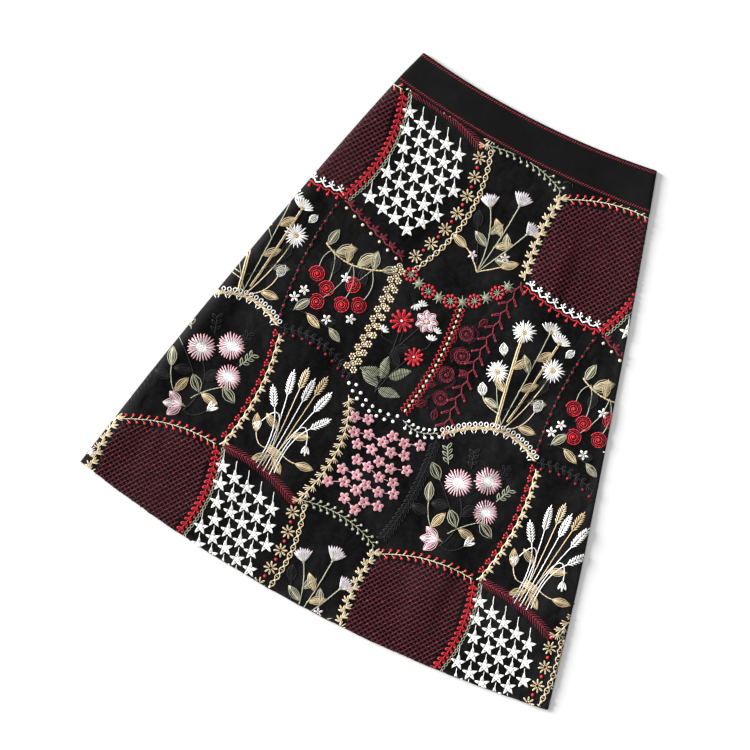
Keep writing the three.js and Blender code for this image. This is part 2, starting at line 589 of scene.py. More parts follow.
@dataclass
class Pieces:
    """Everything that a mesh is made of."""

    points: list[Array] = field(default_factory=list)
    quads: list[Array] = field(default_factory=list)
    tris: list[Array] = field(default_factory=list)
    count: int = 0

    def add(self, points: Array, quads: Array | None = None, tris: Array | None = None) -> None:
        """Adds points in millimetres, with faces that count from the first of them.

        Args:
            points: The points.
            quads: Faces of four.
            tris: Faces of three.
        """
        if quads is not None:
            self.quads.append(quads + self.count)
        if tris is not None:
            self.tris.append(tris + self.count)
        self.points.append(points)
        self.count += len(points)

    def make(self, name: str) -> bpy.types.Object:
        """Makes the object, in metres.

        Args:
            name: The object's name.

        Returns:
            The new object, linked to the scene.
        """
        points = np.concatenate(self.points) * MM
        quads = np.concatenate(self.quads) if self.quads else np.zeros((0, 4), dtype=int)
        tris = np.concatenate(self.tris) if self.tris else np.zeros((0, 3), dtype=int)
        mesh = bpy.data.meshes.new(name)
        mesh.vertices.add(len(points))
        mesh.vertices.foreach_set("co", points.astype(np.float32).ravel())
        loops = np.concatenate([quads.ravel(), tris.ravel()])
        starts = np.concatenate([np.arange(len(quads)) * 4, len(quads) * 4 + np.arange(len(tris)) * 3])
        mesh.loops.add(len(loops))
        mesh.loops.foreach_set("vertex_index", loops.astype(np.int32))
        mesh.polygons.add(len(starts))
        mesh.polygons.foreach_set("loop_start", starts.astype(np.int32))
        mesh.polygons.foreach_set("use_smooth", np.full(len(starts), True))
        mesh.update(calc_edges=True)
        mesh.validate()
        made = bpy.data.objects.new(name, mesh)
        bpy.context.scene.collection.objects.link(made)
        return made


def sheet_mesh(name: str, upper: Array, lower: Array) -> bpy.types.Object:
    """A closed thin sheet between two grids of points.

    Args:
        name: The object's name.
        upper: Points of the upper face, rows by columns by 3, the first row at the waist.
        lower: Points of the lower face.

    Returns:
        The new object.
    """
    rows, columns = upper.shape[:2]
    index = np.arange(rows * columns).reshape(rows, columns)
    a, b, c, d = index[:-1, :-1], index[1:, :-1], index[1:, 1:], index[:-1, 1:]
    top = np.stack([a, b, c, d], axis=-1).reshape(-1, 4)
    layer = rows * columns
    under = top[:, ::-1] + layer
    border = np.concatenate([index[:, 0], index[-1, 1:], index[::-1, -1][1:], index[0, ::-1][1:]])
    here, after = border[:-1], border[1:]
    rim = np.stack([here, here + layer, after + layer, after], axis=-1)
    pieces = Pieces()
    points = np.concatenate([upper.reshape(-1, 3), lower.reshape(-1, 3)])
    pieces.add(points, np.concatenate([top, under, rim]))
    return pieces.make(name)


# Stitches


@dataclass
class StitchBook:
    """Stitches and knots on flat cloth, in millimetres, by thread.

    A stitch is a row of start, end, width, height, taper and bow. A knot is a row of place, radius and
    height.
    """

    stitches: dict[Thread, list[tuple[float, ...]]] = field(default_factory=lambda: {t: [] for t in Thread})
    knots: dict[Thread, list[tuple[float, ...]]] = field(default_factory=lambda: {t: [] for t in Thread})
    chance: random.Random = field(default_factory=lambda: random.Random(5))


@dataclass
class Needle:
    """Sews at a place on the cloth, turned and scaled. Places are complex numbers: across and up."""

    book: StitchBook
    origin: complex = 0j
    turn: complex = 1 + 0j
    unsteady: float = 0.2
    slim: float = 0.86
    coarse: float = 1.28
    shortest: float = 0.5
    lap: float = 0.14
    round_off: float = 0.3
    knot_foot: float = 0.35
    knot_rise: float = 0.5

    def moved(self, to: complex, angle: float = 0.0, scale: float = 1.0) -> "Needle":
        """A needle at another place, turned by an angle in degrees and scaled."""
        return Needle(self.book, self.at(to), self.turn * cmath.rect(scale, math.radians(angle)))

    def at(self, place: complex) -> complex:
        """The place on the cloth of a place in this needle's own frame."""
        return self.origin + place * self.turn

    def jitter(self, size: float) -> float:
        """A small uneven amount, up to the given size either way."""
        return self.book.chance.uniform(-size, size)

    def stitch(self, thread: Thread, start: complex, end: complex, width: float = 1.3, height: float = 0.75,
               taper: float = 0.65, bow: float = 0.0) -> None:
        """Sews one stitch.

        Args:
            thread: Its thread.
            start: Where it comes up.
            end: Where it goes down.
            width: How wide it is in the middle.
            height: How high it stands in the middle.
            taper: Its width at the ends, as a share of that in the middle.
            bow: How far its middle lies to the left of a straight line.
        """
        slip = self.unsteady
        a = self.at(start) + complex(self.jitter(slip), self.jitter(slip))
        b = self.at(end) + complex(self.jitter(slip), self.jitter(slip))
        size = abs(self.turn)
        if abs(b - a) > self.shortest:
            wide = width * size * self.slim * (1 + self.jitter(slip * 0.5))
            self.book.stitches[thread].append((a.real, a.imag, b.real, b.imag, wide, height, taper,
                                               bow * size))

    def satin(self, threads: Sequence[Thread], start: complex, end: complex, wide: float,
              pitch: float = 1.3, height: float = 0.9, full: float = 1.04) -> None:
        """Sews a lens of stitches side by side, in one thread or in several by turns.

        Args:
            threads: Its threads, by turns.
            start: One end.
            end: The other.
            wide: How wide the lens is.
            pitch: How far apart the stitches lie.
            height: How high the middle stands.
            full: A stitch's width as a share of the pitch. A low one shows rows.
        """
        count = max(2, round(wide / (pitch * self.coarse)))
        for step in range(count):
            share = (step + 0.5) / count * 2 - 1
            self.stitch(threads[step % len(threads)], start, end, wide / count * full,
                        height * (1 - self.round_off * share * share), taper=0.55, bow=wide / 2 * share)

    def loop(self, thread: Thread, start: complex, end: complex, wide: float, width: float = 1.2,
             height: float = 0.8) -> None:
        """Sews an open loop, such as a lazy daisy petal, from its foot to its tip."""
        for side in (0.5, -0.5):
            self.stitch(thread, start, end, width, height, taper=0.85, bow=wide * side)

    def run(self, thread: Thread, path: Sequence[complex], width: float = 1.3, height: float = 0.75,
            length: float = 4.2) -> None:
        """Sews a line of even stitches along a path.

        Args:
            thread: Its thread.
            path: The corners of the path.
            width: A stitch's width.
            height: How high it stands.
            length: How long it is.
        """
        way = Path([self.at(place) for place in path])
        count = max(1, round(way.length / length))
        places = [way.at(way.length * step / count)[0] for step in range(count + 1)]
        flat = Needle(self.book)
        for start, end in zip(places, places[1:]):
            lap = (end - start) * self.lap
            flat.stitch(thread, start - lap, end + lap, width * abs(self.turn), height, taper=0.75)

    def knot(self, thread: Thread, centre: complex, radius: float = 1.6, height: float = 0.0) -> None:
        """Sews one round knot. Its height is a share of its radius unless it is given.

        Args:
            thread: Its thread.
            centre: Where it lies.
            radius: Its radius.
            height: How high it stands.
        """
        place = self.at(centre)
        high = height or self.knot_foot + radius * self.knot_rise
        self.book.knots[thread].append((place.real, place.imag, radius * abs(self.turn), high))


class Path:
    """A line on the cloth that is measured along."""

    def __init__(self, places: Sequence[complex]) -> None:
        """Keeps the corners of the line and how far along each lies.

        Args:
            places: The corners.
        """
        self.places = np.array(places, dtype=complex)
        self.marks_at = np.concatenate([[0.0], np.cumsum(np.abs(np.diff(self.places)))])
        self.length = float(self.marks_at[-1])

    @classmethod
    def bent(cls, start: complex, via: complex, end: complex, steps: int = 24) -> "Path":
        """A smooth bend from start to end through a place near its middle.

        Args:
            start: One end.
            via: The place near the middle.
            end: The other end.
            steps: How many straight steps it has.

        Returns:
            The path.
        """
        pull = 2 * via - (start + end) / 2
        shares = [step / steps for step in range(steps + 1)]
        return cls([start * (1 - s) ** 2 + pull * 2 * s * (1 - s) + end * s * s for s in shares])

    def at(self, distance: float) -> tuple[complex, complex]:
        """The place a distance along, and the direction there as a unit number.

        Args:
            distance: How far along.

        Returns:
            The place and the direction.
        """
        distance = min(max(distance, 0.0), self.length)
        first = min(int(np.searchsorted(self.marks_at, distance, side="right")) - 1, len(self.places) - 2)
        step = self.places[first + 1] - self.places[first]
        length = max(abs(step), TINY)
        share = (distance - self.marks_at[first]) / length
        return complex(self.places[first] + step * share), complex(step / length)

    def marks(self, pitch: float, phase: float = 0.5) -> list[tuple[complex, complex]]:
        """Even places along the line, about a pitch apart, each with its direction."""
        count = max(1, round(self.length / pitch))
        return [self.at(self.length * (step + phase) / count) for step in range(count)]

    def beside(self, offset: float, steps: int = 24) -> "Path":
        """The line moved to its left by an offset.

        Args:
            offset: How far to the left.
            steps: How many straight steps it has.

        Returns:
            The moved path.
        """
        if not offset:
            return self
        moved = []
        for step in range(steps + 1):
            place, way = self.at(self.length * step / steps)
            moved.append(place + way * 1j * offset)
        return Path(moved)

    def points(self) -> list[complex]:
        """The corners of the line."""
        return [complex(place) for place in self.places]


def inside_shape(corners: Sequence[complex], place: complex) -> bool:
    """True if a place lies inside a closed shape.

    Args:
        corners: The shape's corners.
        place: The place.

    Returns:
        Whether it is inside.
    """
    inside = False
    for here, after in zip(corners, [*corners[1:], corners[0]]):
        if (here.imag > place.imag) != (after.imag > place.imag):
            share = (place.imag - here.imag) / (after.imag - here.imag)
            if place.real < here.real + share * (after.real - here.real):
                inside = not inside
    return inside


def polar(radius: float, degrees: float) -> complex:
    """A place at a distance and an angle."""
    return cmath.rect(radius, math.radians(degrees))


def degrees_of(way: complex) -> float:
    """The angle of a direction."""
    return math.degrees(cmath.phase(way))


# Motifs


class Motif(Protocol):
    """Something that is sewn at one place."""

    def sew(self, needle: Needle) -> None:
        """Sews it in the needle's frame."""


@dataclass(frozen=True)
class Ring:
    """Petals or rays round a centre: single stitches, satin petals or open loops."""

    thread: Thread
    count: int
    inner: float
    outer: float
    width: float = 1.5
    wide: float = 0.0
    start: float = 0.0
    span: float = 360.0
    uneven: float = 0.0
    height: float = 0.9
    looped: bool = False

    def sew(self, needle: Needle) -> None:
        """Sews the ring.

        Args:
            needle: The needle at its foot.
        """
        step = self.span / self.count
        for place in range(self.count):
            angle = self.start + place * step + needle.jitter(step * self.uneven)
            reach = self.outer * (1 - abs(needle.jitter(self.uneven)))
            foot, tip = polar(self.inner, angle), polar(reach, angle)
            if self.looped:
                needle.loop(self.thread, foot, tip, self.wide, self.width, self.height)
            elif self.wide:
                needle.satin((self.thread,), foot, tip, self.wide, self.width, self.height)
            else:
                needle.stitch(self.thread, foot, tip, self.width, self.height)


@dataclass(frozen=True)
class Dots:
    """Knots in a ring, or one in the middle."""

    thread: Thread
    size: float = 1.6
    count: int = 1
    radius: float = 0.0
    height: float = 0.0
    start: float = 0.0

    def sew(self, needle: Needle) -> None:
        """Sews the knots.

        Args:
            needle: The needle at its foot.
        """
        for step in range(self.count):
            place = polar(self.radius, self.start + step * 360 / self.count)
            needle.knot(self.thread, place, self.size, self.height)


@dataclass(frozen=True)
class Stroke:
    """One stitch, or an open loop if it is given a width to span."""

    thread: Thread
    start: complex
    end: complex
    width: float = 1.3
    wide: float = 0.0
    height: float = 0.85

    def sew(self, needle: Needle) -> None:
        """Sews it.

        Args:
            needle: The needle at its foot.
        """
        if self.wide:
            needle.loop(self.thread, self.start, self.end, self.wide, self.width, self.height)
        else:
            needle.stitch(self.thread, self.start, self.end, self.width, self.height)


@dataclass(frozen=True)
class Group:
    """Motifs sewn at one place, the first lowest."""

    parts: tuple[Motif, ...]

    def sew(self, needle: Needle) -> None:
        """Sews each part."""
        for part in self.parts:
            part.sew(needle)


@dataclass(frozen=True)
class Put:
    """A motif moved to a place, turned and scaled."""

    motif: Motif
    place: complex
    turn: float = 0.0
    scale: float = 1.0

    def sew(self, needle: Needle) -> None:
        """Sews it there."""
        self.motif.sew(needle.moved(self.place, self.turn, self.scale))


@dataclass(frozen=True)
class Leaf:
    """A leaf of long stitches side by side, outlined, from its foot at 0 to its tip along +x."""

    length: float
    width: float
    threads: tuple[Thread, ...]
    edge: Thread
    pitch: float = 1.5
    filled: tuple[float, float] = (0.96, 0.84)
    rim: float = 1.12
    vein: float = 0.8

    def sew(self, needle: Needle) -> None:
        """Sews the filling, the outline and the vein.

        Args:
            needle: The needle at its foot.
        """
        far, wide = self.length * self.filled[0], self.width * self.filled[1]
        needle.satin(self.threads, 1 + 0j, complex(far, 0), wide, self.pitch, height=0.75, full=0.8)
        needle.loop(self.edge, 0j, complex(self.length, 0), self.width * self.rim, 1.35, height=0.95)
        needle.run(self.edge, [complex(-1, 0), complex(self.length * self.vein, 0)], 1.1, height=1.0)


@dataclass(frozen=True)
class BarredLeaf:
    """A leaf of short stitches that cross it side by side, with a dark spine, along +x."""

    length: float = 30.0
    width: float = 14.0
    bar: Thread = Thread.SAGE
    spine: Thread = Thread.BLACK
    pitch: float = 2.1
    fullest: float = 0.85
    tip_half: float = 0.6
    lean: float = 0.35
    upper: float = 0.9

    def sew(self, needle: Needle) -> None:
        """Sews the bars and the spine.

        Args:
            needle: The needle at its foot.
        """
        count = round(self.length / self.pitch)
        for step in range(count):
            share = (step + 0.5) / count
            half = self.width / 2 * math.sin(math.pi * share ** self.fullest) + self.tip_half
            middle = complex(self.length * share, 0)
            foot, tip = complex(half * self.lean, half), complex(half * self.lean, half * self.upper)
            needle.stitch(self.bar, middle - foot, middle + tip, 1.65, 0.9, taper=0.8)
        bent = [complex(-4, -1), complex(self.length * 0.5, -1.4), complex(self.length, 0)]
        needle.run(self.spine, bent, 1.3, height=1.1)


@dataclass(frozen=True)
class Star:
    """A satin star with its top point up."""

    radius: float = 9.7
    waist: float = 3.9
    thread: Thread = Thread.WHITE
    points: int = 5
    leans: tuple[float, ...] = (-33, 33, -11, 11)
    shorter: float = 0.003
    apart: float = 0.05
    foot: float = 0.9
    fills: tuple[float, ...] = (30, 90, 150)
    fill_width: float = 4.2

    def sew(self, needle: Needle) -> None:
        """Sews each point as stitches that run together at its tip, and fills the middle.

        Args:
            needle: The needle at its foot.
        """
        for point in range(self.points):
            angle = 90 + point * 360 / self.points
            for lean in self.leans:
                tip = polar(self.radius * (1 - abs(lean) * self.shorter), angle + lean * self.apart)
                foot = polar(self.waist * self.foot, angle + lean)
                needle.stitch(self.thread, foot, tip, 1.55, 0.95, taper=0.45)
        for angle in self.fills:
            start, end = polar(self.waist, angle), polar(self.waist, angle + 180)
            needle.stitch(self.thread, start, end, self.fill_width, 0.9, taper=0.8)


@dataclass(frozen=True)
class Coil:
    """A spiral of stitches from the middle to the rim, one turn in each thread."""

    radius: float
    threads: tuple[Thread, ...]
    pitch: float = 1.9
    width: float = 1.9
    length: float = 4.4
    begins: float = 0.8
    tightest: float = 2.0
    lap: float = 1.12
    middle_height: float = 1.15
    fall: float = 0.3

    def sew(self, needle: Needle) -> None:
        """Sews the spiral, lower towards the rim, and a knot in the middle.

        Args:
            needle: The needle at its foot.
        """
        angle, radius = 0.0, self.pitch * self.begins
        while radius < self.radius:
            turn = math.degrees(self.length / max(radius, self.tightest))
            grown = radius + self.pitch * turn / 360
            thread = self.threads[int(angle / 360) % len(self.threads)]
            high = self.middle_height - self.fall * radius / self.radius
            end = polar(grown, angle + turn * self.lap)
            needle.stitch(thread, polar(radius, angle), end, self.width, high, taper=0.55, bow=-0.4)
            angle, radius = angle + turn, grown
        needle.knot(self.threads[0], 0j, self.pitch * 0.9, 1.25)


@dataclass(frozen=True)
class Ear:
    """An ear of grain: pairs of plump slanted stitches along +x."""

    length: float = 28.0
    reach: float = 7.4
    thread: Thread = Thread.WHITE
    pitch: float = 3.5
    slant: float = 35
    least: float = 0.75
    swell: float = 0.55
    thinning: float = 0.42
    tip: tuple[float, float] = (0.9, 1.16)

    def sew(self, needle: Needle) -> None:
        """Sews the pairs, shorter towards the tip.

        Args:
            needle: The needle at its foot.
        """
        count = round(self.length / self.pitch)
        for step in range(count):
            share = step / count
            plump = self.least + self.swell * math.sin(math.pi * (share * 0.9 + 0.1))
            size = self.reach * plump * (1 - self.thinning * share)
            for side in (1, -1):
                start = complex(self.length * share, 0.5 * side)
                end = start + polar(size, self.slant * side)
                needle.stitch(self.thread, start, end, 2.2, 1.05, taper=0.6, bow=-0.6 * side)
        start, end = (complex(self.length * share, 0) for share in self.tip)
        needle.stitch(self.thread, start, end, 2.0, 1.0, taper=0.4)


# Seam stitches


class SeamStitch(Protocol):
    """A stitch that follows a line."""

    def sew(self, needle: Needle, path: Path) -> None:
        """Sews it along a path."""


@dataclass(frozen=True)
class Shoot:
    """A short stitch at the side of a line: single, satin or looped, with a knot at its tip or none."""

    thread: Thread
    angle: float
    reach: float
    width: float = 1.4
    wide: float = 0.0
    looped: bool = False
    knot: float = 0.0
    out: float = 0.0
    uneven: float = 0.05
    unsteady: float = 2

    def sew(self, needle: Needle, place: complex, way: complex, side: int) -> None:
        """Sews it at one side of a place on the line.

        Args:
            needle: The needle.
            place: A place on the line.
            way: The line's direction there.
            side: 1 for its left, -1 for its right.
        """
        foot = place + way * 1j * self.out * side
        reach = self.reach * (1 + needle.jitter(self.uneven))
        tip = foot + way * polar(reach, (self.angle + needle.jitter(self.unsteady)) * side)
        if self.looped:
            needle.loop(self.thread, foot, tip, self.wide, self.width)
        elif self.wide:
            needle.satin((self.thread,), foot, tip, self.wide, self.width, 1.0)
        else:
            needle.stitch(self.thread, foot, tip, self.width, 0.85, taper=0.8)
        if self.knot:
            needle.knot(self.thread, tip, self.knot)


def fan(thread: Thread, width: float, wide: float, *shoots: tuple[float, float]) -> tuple[Shoot, ...]:
    """Shoots of one kind, each with its own angle and reach."""
    return tuple(Shoot(thread, angle, reach, width, wide) for angle, reach in shoots)


@dataclass(frozen=True)
class Vine:
    """A line with shoots at its sides. The line sways to the left at each step if it has a wave."""

    thread: Thread
    pitch: float
    shoots: tuple[Shoot, ...] = ()
    sides: tuple[int, ...] = (1, -1)
    by_turns: bool = False
    wave: float = 0.0
    beside: float = 0.0
    width: float = 1.4
    stagger: float = 0.0

    def sew(self, needle: Needle, path: Path) -> None:
        """Sews the line and the shoots.

        Args:
            needle: The needle.
            path: The line to follow.
        """
        path = path.beside(self.beside)
        marks = path.marks(self.pitch)
        needle.run(self.thread, self.line(path, marks), self.width, 0.85)
        for step, (place, way) in enumerate(marks):
            for turn, side in enumerate(self.sides):
                if self.by_turns and step % len(self.sides) != turn:
                    continue
                for shoot in self.shoots:
                    shoot.sew(needle, place - way * self.stagger * side, way, side)

    def line(self, path: Path, marks: list[tuple[complex, complex]]) -> list[complex]:
        """The places that the line runs through.

        Args:
            path: The path.
            marks: Places and directions of the steps.

        Returns:
            The corners of the line.
        """
        if not self.wave:
            return path.points()
        places = [path.at(0)[0]]
        for step, (place, way) in enumerate(marks):
            flip = -1 if self.by_turns and step % 2 else 1
            places.append(place + way * 1j * self.wave * flip)
            if not self.by_turns:
                middle, ahead = path.at(path.length * (step + 1) / len(marks))
                places.append(middle - ahead * 1j * self.wave)
        return places


@dataclass(frozen=True)
class Bars:
    """Close parallel stitches that cross a line aslant."""

    threads: tuple[Thread, ...]
    pitch: float = 2.0
    half: float = 2.4
    lean: float = 1.4
    sway: float = 0.0
    beat: float = 5.0
    beside: float = 0.0
    width: float = 1.7
    zigzag: bool = False

    def sew(self, needle: Needle, path: Path) -> None:
        """Sews the stitches. Their reach swells and shrinks once a beat if they sway.

        Args:
            needle: The needle.
            path: The line to follow.
        """
        for step, (place, way) in enumerate(path.beside(self.beside).marks(self.pitch)):
            half = self.half + self.sway * math.sin(step * 2 * math.pi / self.beat)
            lean = -self.lean if self.zigzag and step % 2 else self.lean
            foot, tip = place - way * complex(lean, half), place + way * complex(lean, half)
            needle.stitch(self.threads[step % len(self.threads)], foot, tip, self.width, 1.0, taper=0.8)


@dataclass(frozen=True)
class Row:
    """Motifs at even steps along a line, by turns."""

    motifs: tuple[Motif, ...]
    pitch: float
    beside: float = 0.0
    phase: float = 0.5

    def sew(self, needle: Needle, path: Path) -> None:
        """Sews the motifs, each turned along the line."""
        for step, (place, way) in enumerate(path.beside(self.beside).marks(self.pitch, self.phase)):
            self.motifs[step % len(self.motifs)].sew(needle.moved(place, degrees_of(way)))


# Filled patches


def middle_and_reach(corners: Sequence[complex]) -> tuple[complex, float]:
    """The middle of a patch's corners, and how far the furthest lies from it."""
    middle = sum(corners) / len(corners)
    return middle, max(abs(corner - middle) for corner in corners)


@dataclass(frozen=True)
class Trellis:
    """A patch of broad interlaced threads, a fine one along each, and a few knots where they cross."""

    pitch: float = 4.9
    tilt: float = -30.0
    broad: Thread = Thread.WINE
    fine: Thread = Thread.BURGUNDY
    knot: Thread = Thread.ROSE
    width: float = 3.1
    thin: float = 0.9
    often: float = 0.45
    crossing: float = 86
    part: float = 0.55
    every: int = 3

    def sew(self, needle: Needle, corners: Sequence[complex]) -> None:
        """Fills the patch inside its corners.

        Args:
            needle: The needle.
            corners: The patch's corners.
        """
        middle, reach = middle_and_reach(corners)
        steps = int(reach / self.pitch) + 2
        axes = (polar(self.pitch, self.tilt), polar(self.pitch, self.tilt + self.crossing))
        for kind, (along, across) in enumerate((axes, axes[::-1])):
            for row in range(-steps, steps + 1):
                for step in range(-steps, steps + 1):
                    centre = middle + along * step + across * row
                    start, end = centre - along * self.part, centre + along * self.part
                    if not (inside_shape(corners, start) and inside_shape(corners, end)):
                        continue
                    if (row + step + kind) % 2:
                        needle.stitch(self.fine, start, end, self.thin, 0.85, taper=0.9)
                    else:
                        needle.stitch(self.broad, centre - along, centre + along, self.width, 0.7,
                                      taper=0.9)
                        needle.stitch(self.fine, start, end, self.thin, 1.05, taper=0.9)
        for row in range(-steps, steps + 1, self.every):
            for step in range(-steps, steps + 1, self.every):
                place = middle + axes[0] * (step + row % 2) + axes[1] * row
                if inside_shape(corners, place) and needle.book.chance.random() < self.often:
                    needle.knot(self.knot, place, 1.45, 1.35)


@dataclass(frozen=True)
class StarField:
    """Stars threaded on lines that hang aslant, every other line a half step lower."""

    across: float = 16.2
    down: float = 21.4
    tilt: float = 20.0
    star: Star = Star()
    stray: float = 0.7
    turned: float = 6
    hang: float = 0.95
    leave: float = 0.34
    arrive: float = 0.32

    def sew(self, needle: Needle, corners: Sequence[complex]) -> None:
        """Fills the patch inside its corners.

        Args:
            needle: The needle.
            corners: The patch's corners.
        """
        middle, reach = middle_and_reach(corners)
        side, fall = polar(self.across, self.tilt), polar(self.down, self.tilt - 90)
        columns, rows = int(reach / self.across) + 1, int(reach / self.down) + 1
        for column in range(-columns, columns + 1):
            last: complex | None = None
            for row in range(-rows, rows + 1):
                place = middle + side * column + fall * (row + column % 2 * 0.5)
                if not inside_shape(corners, place):
                    continue
                place += complex(needle.jitter(self.stray), needle.jitter(self.stray))
                self.star.sew(needle.moved(place, self.tilt + needle.jitter(self.turned)))
                start = place - fall * self.hang if last is None else last + (place - last) * self.leave
                needle.run(self.star.thread, [start, place - fall * self.arrive], 1.05, 0.7, length=3.2)
                last = place


@dataclass(frozen=True)
class Garlands:
    """Small blossoms threaded on hanging swags."""

    blossom: Motif
    thread: Thread = Thread.PINK
    pitch: float = 17.0
    drop: float = 16.6
    swing: float = 4.5
    swags: float = 1.5
    margin: complex = 3 - 6j
    shift: float = 0.45
    stray: float = 1.8
    turned: float = 36
    clear: float = 0.34

    def sew(self, needle: Needle, corners: Sequence[complex]) -> None:
        """Fills the patch inside its corners.

        Args:
            needle: The needle.
            corners: The patch's corners.
        """
        left, right = min(c.real for c in corners), max(c.real for c in corners)
        foot, top = min(c.imag for c in corners), max(c.imag for c in corners)
        for row in range(int((top - foot) / self.drop) + 1):
            last: complex | None = None
            for column in range(int((right - left) / self.pitch) + 1):
                across = left + self.margin.real + column * self.pitch + (row % 2) * self.pitch * self.shift
                swag = self.swing * math.cos((across - left) / (right - left) * 2 * math.pi * self.swags)
                place = complex(across, top + self.margin.imag - row * self.drop - swag)
                place += complex(needle.jitter(self.stray), needle.jitter(self.stray))
                if not inside_shape(corners, place):
                    last = None
                    continue
                self.blossom.sew(needle.moved(place, needle.jitter(self.turned)))
                if last is not None:
                    gap = (place - last) * self.clear
                    needle.run(self.thread, [last + gap, place - gap], 1.2, 0.7, length=2.6)
                last = place


@dataclass(frozen=True)
class Stalk:
    """A bent stalk, what it carries at its tip, and what grows at shares of its length, turned from it."""

    thread: Thread
    start: complex
    via: complex
    end: complex
    width: float = 1.6
    tip: Motif | None = None
    ahead: float = 0.0
    grown: tuple[tuple[float, float, Motif], ...] = ()
    between: Thread | None = None
    strand: float = 1.9
    close: float = 1.05

    def sew(self, needle: Needle) -> None:
        """Sews the stalk in one line or in several side by side, then the rest.

        Args:
            needle: The needle at its foot.
        """
        path = Path.bent(self.start, self.via, self.end)
        lines = max(1, round(self.width / self.strand))
        for line in range(lines):
            beside = path.beside((line - (lines - 1) / 2) * self.width / lines)
            thread = self.between if self.between and line % 2 else self.thread
            needle.run(thread, beside.points(), self.width / lines * self.close, height=0.85)
        for share, angle, motif in self.grown:
            place, way = path.at(path.length * share)
            motif.sew(needle.moved(place, degrees_of(way) + angle))
        if self.tip is not None:
            place, way = path.at(path.length)
            self.tip.sew(needle.moved(place + way * self.ahead, degrees_of(way)))


@dataclass(frozen=True)
class Sprig:
    """A short straight vine that starts at 0 and runs along +x."""

    vine: Vine
    length: float = 20.0

    def sew(self, needle: Needle) -> None:
        """Sews it."""
        self.vine.sew(needle, Path([0j, complex(self.length, 0)]))


# The motifs in use

WHITE, CREAM, TAN, SAGE, BLACK = Thread.WHITE, Thread.CREAM, Thread.TAN, Thread.SAGE, Thread.BLACK
RED, ROSE, BURGUNDY, WINE = Thread.RED, Thread.ROSE, Thread.BURGUNDY, Thread.WINE
PINK, LILAC = Thread.PINK, Thread.LILAC

DAISY = Group((
    Ring(WHITE, 18, 2.8, 16.6, 1.9, uneven=0.2),
    Ring(WHITE, 18, 2.8, 13.4, 1.7, start=10, uneven=0.2, height=0.8),
    Dots(TAN, 1.3, 7, 2.3, 1.3), Dots(TAN, 1.3, height=1.45)))
SIDE_DAISY = Group((
    Ring(WHITE, 10, 3.5, 17, 1.35, 2.8, -60, 134, 0.14),
    Ring(TAN, 4, -1, 6.6, 1.9, start=-36, span=96, height=1.1)))
ASTER = Group((
    Dots(WHITE, 7, height=0.45),
    Ring(PINK, 25, 7.5, 17.6, 2.1, uneven=0.12), Ring(LILAC, 23, 4.5, 15.2, 1.6, start=6, uneven=0.12),
    Ring(WHITE, 19, 2, 11, 1.3, uneven=0.14, height=1.05), Dots(WHITE, 1.1, 6, 1.8, 1.3)))
RED_FLOWER = Group((
    Ring(RED, 10, 3, 15.2, 1.5, 4.6, height=0.9), Dots(RED, 2.5, 10, 13.2, 1.1),
    Ring(BURGUNDY, 10, 4, 11, 0.8, height=1.15), Dots(RED, 2.9, height=1.2),
    Dots(WHITE, 1.9, height=1.6)))
PALE_FLOWER = Group((
    Ring(PINK, 7, 3.2, 15, 1.4, 9.4, looped=True), Ring(LILAC, 7, 3.2, 13.6, 1.5, 6.2, height=0.9),
    Ring(WHITE, 7, 4, 10, 1, height=1.1), Dots(TAN, 1.6, 6, 2, 1.3), Dots(WHITE, 1.4, height=1.5)))
BLOSSOM = Group((Ring(PINK, 5, 1, 7.2, 1.3, 5.4, 90, height=1.15), Dots(ROSE, 1.1, height=1.3)))
SMALL_WHITE, SMALL_LILAC = (
    Group((Ring(thread, 5, 1.2, reach, 1.4, wide, 90, height=1), Dots(TAN, 1.3, height=1.3)))
    for thread, reach, wide in ((WHITE, 6.8, 3.6), (LILAC, 6.4, 3.4)))
EYELET = Group((
    Ring(CREAM, 8, 2.8, 8.2, 1.3, 2.4, 22, height=1), Dots(CREAM, 1, 8, 7.4, 1.05, 22),
    Dots(TAN, 1, 6, 2.4, 1.1)))
BERRY_RING = Group((Ring(SAGE, 9, 0.4, 5.2, 1.2), Dots(RED, 2.15, 9, 7.1, 1.35)))
SAGE_STAR = Group((Ring(SAGE, 4, -8.2, 8.2, 1.5, span=180),
                   Ring(SAGE, 4, -4.8, 4.8, 1.4, start=22, span=180)))
CREAM_RING = Group((Dots(CREAM, 1.45, 6, 3.1, 1.05), Dots(TAN, 1, height=0.9)))
LINK = Group((
    Stroke(CREAM, -4.6, 4.6, 1.3, 6), Stroke(CREAM, -2.6j, 2.6j, 1.1), Put(Dots(CREAM, 1.8), 5)))
CHAIN = Stroke(SAGE, -2.8, 2.8, 1.15, 3.2)
CUP_LOOP = Stroke(WHITE, 0j, 5.6j, 1.5, 4.6)
BUD = Group((
    Stroke(WHITE, 0j, 18, 1.7, 11.5), Stroke(WHITE, 1, 15.6, 1.5, 7), Stroke(WHITE, 2, 13, 1.5, 2.6),
    Ring(SAGE, 3, -1, 5, 1.3, start=-30, span=90, height=1.05)))
BELL = Group((
    Ring(WHITE, 3, 0.5, 12.5, 1.4, 4.2, -24, 72, height=1),
    Ring(SAGE, 3, -1, 4.4, 1.4, start=-30, span=90, height=1.1),
    Put(Dots(CREAM, 1.3), 13)))
CHERRY = Group((
    Coil(10.4, (RED, RED, ROSE), 2.3, 1.9),
    Put(Stroke(BLACK, -3.6, 3.6, 1.4, 0, 1.3), -8.8, 90)))
ROSE_COIL = Coil(12.2, (BURGUNDY, WINE, BURGUNDY), 2.3, 2.5)
FRINGED = Group((
    Ring(LILAC, 9, 1, 20, 1.5, 3.4, -40, 90, 0.1),
    Ring(WHITE, 8, 4, 17, 1.2, start=-36, span=82, uneven=0.12, height=1.2),
    Ring(SAGE, 4, -2, 7, 2, start=-42, span=112, height=1.2)))
